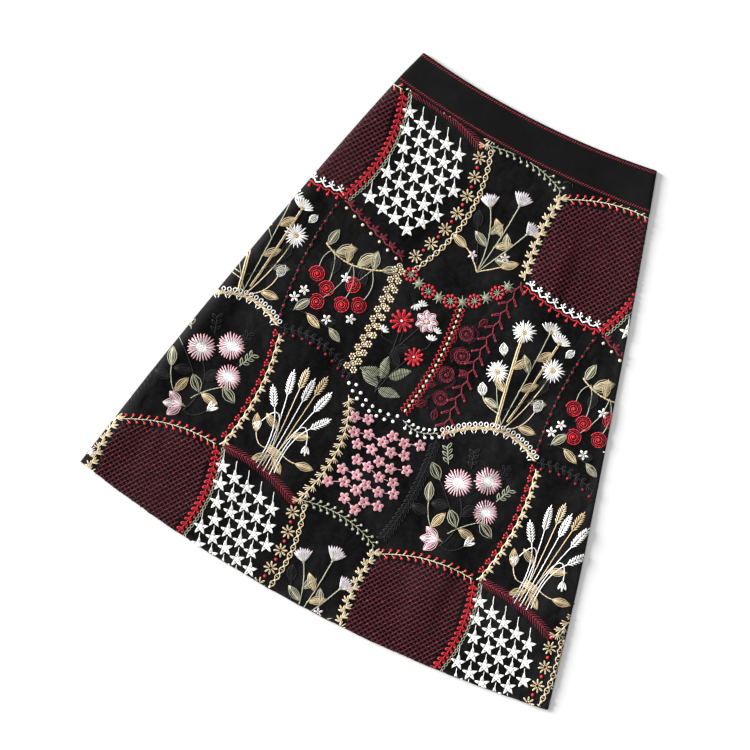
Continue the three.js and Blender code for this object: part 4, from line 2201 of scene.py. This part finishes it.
class Effects:
    """The node groups that the finishes share."""

    def __init__(self) -> None:
        """Builds each group once."""
        self.weave = self.build_weave()
        self.twist = self.build_twist()
        self.fading = self.build_fading()
        self.crumple = self.build_crumple()

    @staticmethod
    def build_weave() -> bpy.types.NodeTree:
        """A plain weave with slubs: painted shading that is lighter on each thread's crest, lighter slubs,
        and how high it stands.

        Returns:
            The node group.
        """
        tree, wiring, given, out = shader_group(
            "plain_weave", {"Threads a metre": 1500.0, "Unevenness": 0.4}, ("Tone", "Height"))
        place = wiring.add("ShaderNodeTexCoord").outputs["Object"]
        bend = wiring.add("ShaderNodeTexNoise", None, Vector=place, Scale=60.0, Detail=1.0)
        parts = wiring.add("ShaderNodeSeparateXYZ", None, Vector=place)
        sway = wiring.math("MULTIPLY", bend.outputs["Fac"], 0.0012)
        counts = [wiring.math("MULTIPLY", wiring.math("ADD", parts.outputs[axis], sway),
                              given.outputs["Threads a metre"]) for axis in ("X", "Y")]
        grid = wiring.add("ShaderNodeCombineXYZ", None, X=counts[0], Y=counts[1])
        over = wiring.add("ShaderNodeTexChecker", None, Vector=grid.outputs[0], Scale=1.0).outputs["Fac"]
        rounds = [wiring.math("ABSOLUTE", wiring.math("SINE", wiring.math("MULTIPLY", count, math.pi)))
                  for count in counts]
        warp = wiring.math("MULTIPLY", rounds[0], over)
        weft = wiring.math("MULTIPLY", rounds[1], wiring.math("SUBTRACT", 1.0, over))
        height = wiring.math("ADD", warp, weft)
        slub_place = wiring.add("ShaderNodeMapping", None, Vector=place, Scale=(90.0, 900.0, 90.0))
        slub = wiring.add("ShaderNodeTexNoise", None, Vector=slub_place.outputs[0], Scale=1.0, Detail=2.0)
        thick = wiring.spread(slub.outputs["Fac"], 0.45, 0.8)
        uneven = wiring.math("MULTIPLY", thick, given.outputs["Unevenness"])
        # Painted shading: the tone follows the threads' height, lighter on their crests and darker where
        # they dip; the slubs add a lighter tone of their own.
        wiring.feed(out.inputs["Tone"], wiring.math("ADD", wiring.math("MULTIPLY", height, 0.5), uneven))
        wiring.feed(out.inputs["Height"], wiring.math("ADD", height, uneven))
        return tree

    @staticmethod
    def build_twist() -> bpy.types.NodeTree:
        """The twist of a plied thread: painted shading that is lighter on each ply's crest, a random tone
        for each stitch, painted shade down the stitch's sides into its grooves, and how high each ply
        stands.

        Returns:
            The node group.
        """
        tree, wiring, given, out = shader_group(
            "thread_twist", {"Plies a millimetre": 1.1, "Slant": 2.2, "Crest": 0.4}, ("Tone", "Height"))
        run = wiring.add("ShaderNodeUVMap", {"uv_map": "thread_run"})
        parts = wiring.add("ShaderNodeSeparateXYZ", None, Vector=run.outputs[0])
        along = wiring.math("MULTIPLY", parts.outputs["X"], given.outputs["Plies a millimetre"])
        round_it = wiring.math("MULTIPLY", parts.outputs["Y"], given.outputs["Slant"])
        ply = wiring.math("SINE", wiring.math("MULTIPLY", wiring.math("ADD", along, round_it), 2 * math.pi))
        own = wiring.add("ShaderNodeAttribute", {"attribute_name": "stitch_tone"}).outputs["Fac"]
        height = wiring.spread(ply, -1.0, 1.0)
        # Painted shading: each ply is lighter on its crest and darker between plies, mixed with the
        # stitch's own random tone.
        tone = wiring.math("ADD", wiring.math("MULTIPLY", height, 0.35), wiring.math("MULTIPLY", own, 0.65))
        # Painted shade: the colour darkens down the stitch's sides, away from its crest, where it meets its
        # neighbours and the cloth.
        aside = wiring.math("ABSOLUTE", wiring.math("SUBTRACT", parts.outputs["Y"], given.outputs["Crest"]))
        painted_groove_shade = wiring.spread(aside, 0.08, 0.3, 1.0, 0.0)
        painted_ply_shade_and_tone = wiring.math("ADD", wiring.math("MULTIPLY", tone, 0.55), 0.45)
        wiring.feed(out.inputs["Tone"], wiring.math("MULTIPLY", painted_ply_shade_and_tone, painted_groove_shade))
        wiring.feed(out.inputs["Height"], height)
        return tree

    @staticmethod
    def build_fading() -> bpy.types.NodeTree:
        """Soft patches where the colour has faded a little, with finer ones in them.

        Returns:
            The node group.
        """
        tree, wiring, given, out = shader_group("soft_fading", {"Patches a metre": 9.0}, ("Tone",))
        place = wiring.add("ShaderNodeTexCoord").outputs["Object"]
        noise = wiring.add("ShaderNodeTexNoise", None, Vector=place, Scale=given.outputs["Patches a metre"],
                           Detail=4.0, Roughness=0.6)
        wiring.feed(out.inputs["Tone"], wiring.spread(noise.outputs["Fac"], 0.3, 0.7))
        return tree

    @staticmethod
    def build_crumple() -> bpy.types.NodeTree:
        """Small soft creases that cloth keeps between its stitches.

        Returns:
            The node group.
        """
        tree, wiring, given, out = shader_group("soft_crumple", {"Creases a metre": 34.0}, ("Height",))
        place = wiring.add("ShaderNodeTexCoord").outputs["Object"]
        bend = wiring.add("ShaderNodeTexNoise", None, Vector=place, Scale=given.outputs["Creases a metre"],
                          Detail=2.0, Roughness=0.45)
        fold = wiring.math("ABSOLUTE", wiring.math("SUBTRACT", bend.outputs["Fac"], 0.5))
        soft = wiring.spread(fold, 0.0, 0.16)
        swell = wiring.add("ShaderNodeTexNoise", None, Vector=place, Scale=60.0, Detail=1.0)
        wiring.feed(out.inputs["Height"], wiring.math("ADD", wiring.math("MULTIPLY", soft, 0.6),
                                                      wiring.math("MULTIPLY", swell.outputs["Fac"], 0.8)))
        return tree


# Finishes


@dataclass(frozen=True)
class ClothFinish:
    """Woven black cloth: its colours, weave, gloss and relief."""

    name: str
    deep: Colour
    light: Colour
    worn: Colour
    threads: float
    uneven: float
    roughness: float
    gloss: float
    relief: float
    crumple: float

    def build(self, effects: Effects) -> bpy.types.Material:
        """Makes the material.

        Args:
            effects: The shared node groups.

        Returns:
            The material.
        """
        material, wiring, shader = plain_material(self.name)
        weave = wiring.group(effects.weave, Threads_a_metre=self.threads, Unevenness=self.uneven)
        fading = wiring.group(effects.fading, Patches_a_metre=11.0)
        edge = wiring.add("ShaderNodeAttribute", {"attribute_name": "wear"}).outputs["Fac"]
        # The weave's tone carries painted shading: lighter on the thread crests, darker where they dip.
        woven = wiring.mix(weave.outputs["Tone"], (*self.deep, 1), (*self.light, 1))
        soft = wiring.math("MULTIPLY", wiring.math("POWER", fading.outputs["Tone"], 2.0), 0.65)
        rubbed = wiring.math("ADD", soft, wiring.math("MULTIPLY", edge, 0.6))
        wiring.feed(shader.inputs["Base Color"], wiring.mix(rubbed, woven, (*self.worn, 1)))
        crumple = wiring.add("ShaderNodeBump", None, Strength=1.0, Distance=self.crumple * MM,
                             Height=wiring.group(effects.crumple).outputs["Height"])
        bump_node = wiring.add("ShaderNodeBump", None, Strength=0.7, Distance=self.relief * MM,
                               Height=weave.outputs["Height"], Normal=crumple.outputs[0])
        wiring.feed(shader.inputs["Normal"], bump_node.outputs[0])
        rough = wiring.spread(fading.outputs["Tone"], 0.0, 1.0, self.roughness - 0.05,
                              self.roughness + 0.04)
        wiring.feed(shader.inputs["Roughness"], rough)
        shader.inputs["Specular IOR Level"].default_value = self.gloss
        return material


@dataclass(frozen=True)
class ThreadFinish:
    """Plied cotton thread of one colour."""

    name: str
    colour: Colour
    # The darkest share of the colour, reached in the painted shade of the grooves; the painted ply shading
    # and the random tone lie between.
    shade: float
    roughness: float = 0.5
    gloss: float = 0.12

    def build(self, effects: Effects) -> bpy.types.Material:
        """Makes the material.

        Args:
            effects: The shared node groups.

        Returns:
            The material.
        """
        material, wiring, shader = plain_material(self.name)
        twist = wiring.group(effects.twist)
        fading = wiring.group(effects.fading, Patches_a_metre=40.0)
        # Painted shade: the mix runs from this dark colour in the grooves to the full colour on the plies'
        # crests, with a random tone for each stitch.
        dark = tuple(channel * self.shade for channel in self.colour)
        tone = wiring.math("ADD", wiring.math("MULTIPLY", twist.outputs["Tone"], 0.9),
                           wiring.math("MULTIPLY", fading.outputs["Tone"], 0.1))
        wiring.feed(shader.inputs["Base Color"], wiring.mix(tone, (*dark, 1), (*self.colour, 1)))
        bump_node = wiring.add("ShaderNodeBump", None, Strength=0.6, Distance=0.12 * MM,
                               Height=twist.outputs["Height"])
        wiring.feed(shader.inputs["Normal"], bump_node.outputs[0])
        rough = wiring.spread(twist.outputs["Tone"], 0.0, 1.0, self.roughness + 0.08, self.roughness - 0.06)
        wiring.feed(shader.inputs["Roughness"], rough)
        shader.inputs["Specular IOR Level"].default_value = self.gloss
        return material


COTTON = ClothFinish(
    "black_cotton", deep=(0.0002, 0.0002, 0.0002), light=(0.0104, 0.0101, 0.0104),
    worn=(0.0175, 0.0169, 0.0175), threads=1500.0, uneven=0.36, roughness=0.9, gloss=0.006,
    relief=0.16, crumple=2.2)
BANDING = ClothFinish(
    "black_banding", deep=(0.0030, 0.0029, 0.0030), light=(0.0062, 0.0060, 0.0062),
    worn=(0.0105, 0.0101, 0.0105), threads=2100.0, uneven=0.15, roughness=0.85, gloss=0.03,
    relief=0.1, crumple=0.3)
# The last number of each row is the share of the colour left in the painted groove shade.
THREADS = {
    thread: ThreadFinish(f"{thread.value}_thread", from_screen(*colour), shade)
    for thread, colour, shade in (
        (WHITE, (252, 251, 248), 0.66), (CREAM, (240, 219, 184), 0.42), (TAN, (214, 190, 148), 0.42),
        (RED, (212, 52, 62), 0.42), (ROSE, (136, 34, 50), 0.42), (BURGUNDY, (126, 46, 58), 0.42),
        (WINE, (60, 21, 29), 0.42), (PINK, (236, 178, 186), 0.42), (LILAC, (236, 224, 231), 0.52),
        (SAGE, (172, 175, 150), 0.42), (BLACK, (43, 42, 44), 0.4), (Thread.SEWING, (146, 42, 50), 0.42))
}


# Pieces of the skirt


def grid_places(top_level: float, foot_level: float, rows: int, edges: Array, across: int, inset: float,
                edge: float) -> tuple[Array, Array, Array]:
    """Places of a grid over a stretch of the outline.

    Args:
        top_level: The level that it starts at.
        foot_level: The level that it ends at.
        rows: Steps down.
        edges: Shares of the soft edge at which its close columns lie, from 0 to 1.
        across: Steps between the two soft edges.
        inset: How far inside the outline it stays.
        edge: How wide the soft edge is.

    Returns:
        Where each point lies across and up the page, and how far down it is, as a share.
    """
    down = np.linspace(0, 1, rows + 1)
    levels = OUTLINE.level_down(top_level, foot_level, down)
    width = OUTLINE.width(levels, inset)
    near = edges[:-1] * edge
    middle = np.linspace(0, 1, across + 1)
    columns = [np.repeat(near[None], rows + 1, axis=0), edge + (width[:, None] - 2 * edge) * middle[None],
               width[:, None] - near[::-1][None]]
    inward = np.concatenate(columns, axis=1)
    x, y = OUTLINE.page(levels[:, None], inward, inset)
    return x, y, np.repeat(down[:, None], inward.shape[1], axis=1)


@dataclass(frozen=True)
class HemWave:
    """One wave of a worn hem: its height and pitch, and how far and how slowly it drifts."""

    high: float
    pitch: float
    drift: float
    slow: float


HEM_WAVES = (HemWave(0.34, 8.3, 2, 31), HemWave(0.22, 3.1, 1.4, 11))
HEM_SINK = 0.2


def hem_waver(x: Array) -> Array:
    """How far a worn hem strays from its line at each place across."""
    return sum(w.high * np.sin(x / w.pitch + w.drift * np.sin(x / w.slow)) for w in HEM_WAVES) - HEM_SINK


def soft_steps(count: int) -> Array:
    """Shares of a soft edge that are even round it."""
    return 1 - np.cos(np.linspace(0, math.pi / 2, count + 1))


def mark_wear(made: bpy.types.Object, wear: Array) -> None:
    """Notes on each point how much it is rubbed, from 0 to 1."""
    made.data.attributes.new("wear", "FLOAT", "POINT").data.foreach_set("value", wear.astype(np.float32))


@dataclass
class Panel:
    """A cotton panel and the embroidery on it."""

    name: str
    node: str
    form: FrontForm | BackForm
    laying: Laying
    rests_on: tuple[str, ...]
    rows: int
    across: int
    seed: int
    cut: tuple[float, float] = (0.64, 0.615)
    cut_area: float = 0.291
    hem: float = 0.02
    other_hem: float = 140
    worn_side: tuple[float, float] = (4, 9)
    worn_hem: float = 7
    length: float = 600
    made: list[bpy.types.Object] = field(default_factory=list)

    def build(self, book: StitchBook, repeat: Repeat, cloth: bpy.types.Material,
              threads: dict[Thread, bpy.types.Material]) -> None:
        """Makes the cloth and sews on it.

        Args:
            book: The stitches of one repeat.
            repeat: The repeat.
            cloth: The cloth's material.
            threads: The threads' materials.
        """
        panel = self.lay_cloth()
        panel.data.materials.append(cloth)
        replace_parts(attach(panel, ROOT), self.node)
        self.sew(book, repeat, threads)
        faces, colours = len(panel.data.polygons), len(self.made)
        log.info("%s: %d faces of cloth, %d colours of thread", self.name, faces, colours)

    def lay_cloth(self) -> bpy.types.Object:
        """Makes the cloth as a thin closed sheet.

        Returns:
            The cloth.
        """
        layers = LAYERS
        if isinstance(self.form, FrontForm):
            x, y, down = grid_places(SEAM_LEVEL, HEM_LEVEL, self.rows, soft_steps(6), self.across,
                                     layers.cloth, layers.roll)
            y = y - layers.seam * (1 - down) + hem_waver(x) * ease((down - (1 - self.hem)) / self.hem)
            upper = self.form.lay(x, y, np.zeros_like(x))
            lower = np.stack([x, y, self.form.inside(x, y)], axis=-1)
        else:
            x, y, down = grid_places(SEAM_LEVEL, HEM_LEVEL, self.rows, soft_steps(3), self.across, 0.0,
                                     layers.back_edge)
            waver = hem_waver(x + self.other_hem) * ease((down - (1 - self.hem)) / self.hem)
            y = y - layers.seam * (1 - down) + waver
            upper = np.stack([x, y, np.full_like(x, layers.cloth)], axis=-1)
            lower = self.form.lay(-x, y, np.zeros_like(x))
        made = sheet_mesh(self.name, upper, lower)
        left, right = OUTLINE.find(x, y)
        side = bump(np.minimum(left, right) - self.worn_side[0], self.worn_side[1])
        wear = np.maximum(side, bump((1 - down) * self.length, self.worn_hem)).ravel()
        mark_wear(made, np.concatenate([wear, wear * 0]))
        return made

    def sew(self, book: StitchBook, repeat: Repeat, threads: dict[Thread, bpy.types.Material]) -> None:
        """Makes one mesh for each colour of thread.

        Args:
            book: The stitches of one repeat.
            repeat: The repeat.
            threads: The threads' materials.
        """
        for thread, material in threads.items():
            if not book.stitches[thread] and not book.knots[thread]:
                continue
            stitches = np.array(book.stitches[thread], dtype=float).reshape(-1, 8)
            knots = np.array(book.knots[thread], dtype=float).reshape(-1, 4)
            work = ThreadWork(self.form, self.laying.spread(stitches, (0, 2), repeat),
                              self.laying.spread(knots, (0,), repeat), self.seed)
            made = work.make(f"{self.name}_{thread.value}_stitches")
            if made is None:
                continue
            made.data.materials.append(material)
            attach(made, ROOT)
            self.made.append(made)


@dataclass
class Waistband:
    """One half of the waistband with the zigzag that holds its edges."""

    name: str
    node: str
    form: BandForm
    rests_on: tuple[str, ...]
    cut: tuple[float, float] = (0.345, 0.052)
    cut_area: float = 0.0148
    rows: int = 14
    across: int = 90
    edge_in: float = 3.3
    height: float = 45
    worn: float = 3
    bars: Bars = Bars((Thread.SEWING,), 3.1, 1.2, 0.9, width=1.5)
    turns: int = 49
    seed: int = 11

    def build(self, cloth: bpy.types.Material, thread: bpy.types.Material) -> None:
        """Makes the band and its stitching.

        Args:
            cloth: The cloth's material.
            thread: The thread's.
        """
        layers = LAYERS
        x, y, down = grid_places(0.0, SEAM_LEVEL, self.rows, soft_steps(5), self.across, 0.0,
                                 layers.band_edge)
        outer = self.form.lay(x, y, np.zeros_like(x))
        inner = layers.band + (layers.seam if self.form.up else 0)
        flat = np.stack([x, y, np.full_like(x, inner)], axis=-1)
        made = sheet_mesh(self.name, *((outer, flat) if self.form.up else (flat, outer)))
        edge = np.maximum(*(bump(share * self.height, self.worn) for share in (down, 1 - down))).ravel()
        mark_wear(made, np.concatenate([edge, edge]))
        made.data.materials.append(cloth)
        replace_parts(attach(made, ROOT), self.node)
        stitching = self.stitch()
        stitching.data.materials.append(thread)
        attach(stitching, ROOT)
        faces, sewn = len(made.data.polygons), len(stitching.data.polygons)
        log.info("%s: %d faces, %d of stitching", self.name, faces, sewn)

    def stitch(self) -> bpy.types.Object:
        """Sews the zigzag along the top edge and along the seam.

        Returns:
            The stitching.
        """
        book = StitchBook()
        needle = Needle(book)
        for level, aside in ((0.0, -self.edge_in), (SEAM_LEVEL, self.edge_in)):
            row = OUTLINE.at(np.array(level))
            across = np.linspace(0, 1, self.turns)
            y = OUTLINE.height(row, across) + aside
            x = row[0] + (row[2] - row[0]) * across
            self.bars.sew(needle, Path([complex(a, b) for a, b in zip(x, y)]))
        stitches = np.array(book.stitches[Thread.SEWING])
        work = ThreadWork(self.form, stitches, np.zeros((0, 4)), self.seed)
        return work.make(f"{self.name}_zigzag")


# Studio


@dataclass(frozen=True)
class Studio:
    """The floor, the lights and the camera, which looks straight down."""

    looks_at: tuple[float, float] = (-0.0534, -0.0438)
    turn: float = 27.8
    height: float = 2.2
    lens: float = 88.0
    sensor: float = 36.0
    floor_size: float = 6.0
    floor_colour: Colour = (0.58, 0.58, 0.58)
    floor_gloss: float = 0.1
    floor_roughness: tuple[float, float] = (0.82, 0.95)
    fill: float = 0.86
    key_strength: float = 12.0
    key_spread: float = 24.0
    key_rise: float = 15.5
    key_swing: float = 152.0

    def build(self) -> None:
        """Makes the camera, the floor and the lights."""
        self.add_camera()
        self.add_floor()
        self.add_lights()

    def add_camera(self) -> None:
        """Hangs the camera over the skirt, turned as in the photograph."""
        data = bpy.data.cameras.new("camera")
        data.lens, data.sensor_width = self.lens, self.sensor
        camera = bpy.data.objects.new("camera", data)
        camera.location = (*self.looks_at, self.height)
        camera.rotation_euler = (0, 0, math.radians(self.turn))
        bpy.context.scene.collection.objects.link(camera)
        bpy.context.scene.camera = camera

    def add_floor(self) -> None:
        """Lays a plain pale floor with a soft unevenness."""
        half = self.floor_size / 2
        mesh = bpy.data.meshes.new("floor")
        places = [(-half, -half, 0), (half, -half, 0), (half, half, 0), (-half, half, 0)]
        mesh.from_pydata(places, [], [(0, 1, 2, 3)])
        floor = bpy.data.objects.new("floor", mesh)
        material, wiring, shader = plain_material("pale_floor")
        shader.inputs["Base Color"].default_value = (*self.floor_colour, 1)
        shader.inputs["Specular IOR Level"].default_value = self.floor_gloss
        place = wiring.add("ShaderNodeTexCoord").outputs["Object"]
        noise = wiring.add("ShaderNodeTexNoise", None, Vector=place, Scale=3.0, Detail=3.0)
        rough = wiring.spread(noise.outputs["Fac"], 0.3, 0.7, *self.floor_roughness)
        wiring.feed(shader.inputs["Roughness"], rough)
        mesh.materials.append(material)
        bpy.context.scene.collection.objects.link(floor)

    def add_lights(self) -> None:
        """Adds a bright even sky and a low soft lamp from the photograph's left."""
        scene = bpy.context.scene
        scene.view_settings.view_transform = "Standard"
        world = bpy.data.worlds.new("studio")
        world.use_nodes = True
        sky = world.node_tree.nodes["Background"]
        sky.inputs["Color"].default_value = (1, 1, 1, 1)
        sky.inputs["Strength"].default_value = self.fill
        scene.world = world
        lamp = bpy.data.lights.new("low_lamp", "SUN")
        lamp.energy, lamp.angle = self.key_strength, math.radians(self.key_spread)
        light = bpy.data.objects.new("low_lamp", lamp)
        away, rise = math.radians(self.key_swing + self.turn), math.radians(self.key_rise)
        back = Vector((math.cos(away) * math.cos(rise), math.sin(away) * math.cos(rise), math.sin(rise)))
        light.location = back
        light.rotation_euler = back.to_track_quat("Z", "Y").to_euler()
        scene.collection.objects.link(light)


def corners(box: tuple[Vector, Vector]) -> list[list[float]]:
    """A box's corners as plain lists."""
    return [list(corner) for corner in box]


def main() -> None:
    """Builds every piece in order."""
    logging.basicConfig(level=logging.INFO, format="%(name)s: %(message)s")
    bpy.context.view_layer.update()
    Studio().build()
    effects = Effects()
    cotton, banding = COTTON.build(effects), BANDING.build(effects)
    threads = {thread: finish.build(effects) for thread, finish in THREADS.items()}
    repeat = Repeat()
    book = repeat.sew()
    for panel in (
            Panel("back_cloth", "back_panel", BackForm(), Laying(-262, 300), ("floor",), 52, 50, seed=3),
            Panel("front_cloth", "front_panel", FrontForm(), Laying(-300, 262), ("back_cloth",), 104, 100,
                  seed=2)):
        panel.build(book, repeat, cotton, threads)
    for band in (
            Waistband("back_band", "back_waistband", BandForm(False), ("floor",)),
            Waistband("front_band", "front_waistband", BandForm(True), ("back_band",))):
        band.build(banding, threads[Thread.SEWING])


if __name__ == "__main__":
    main()
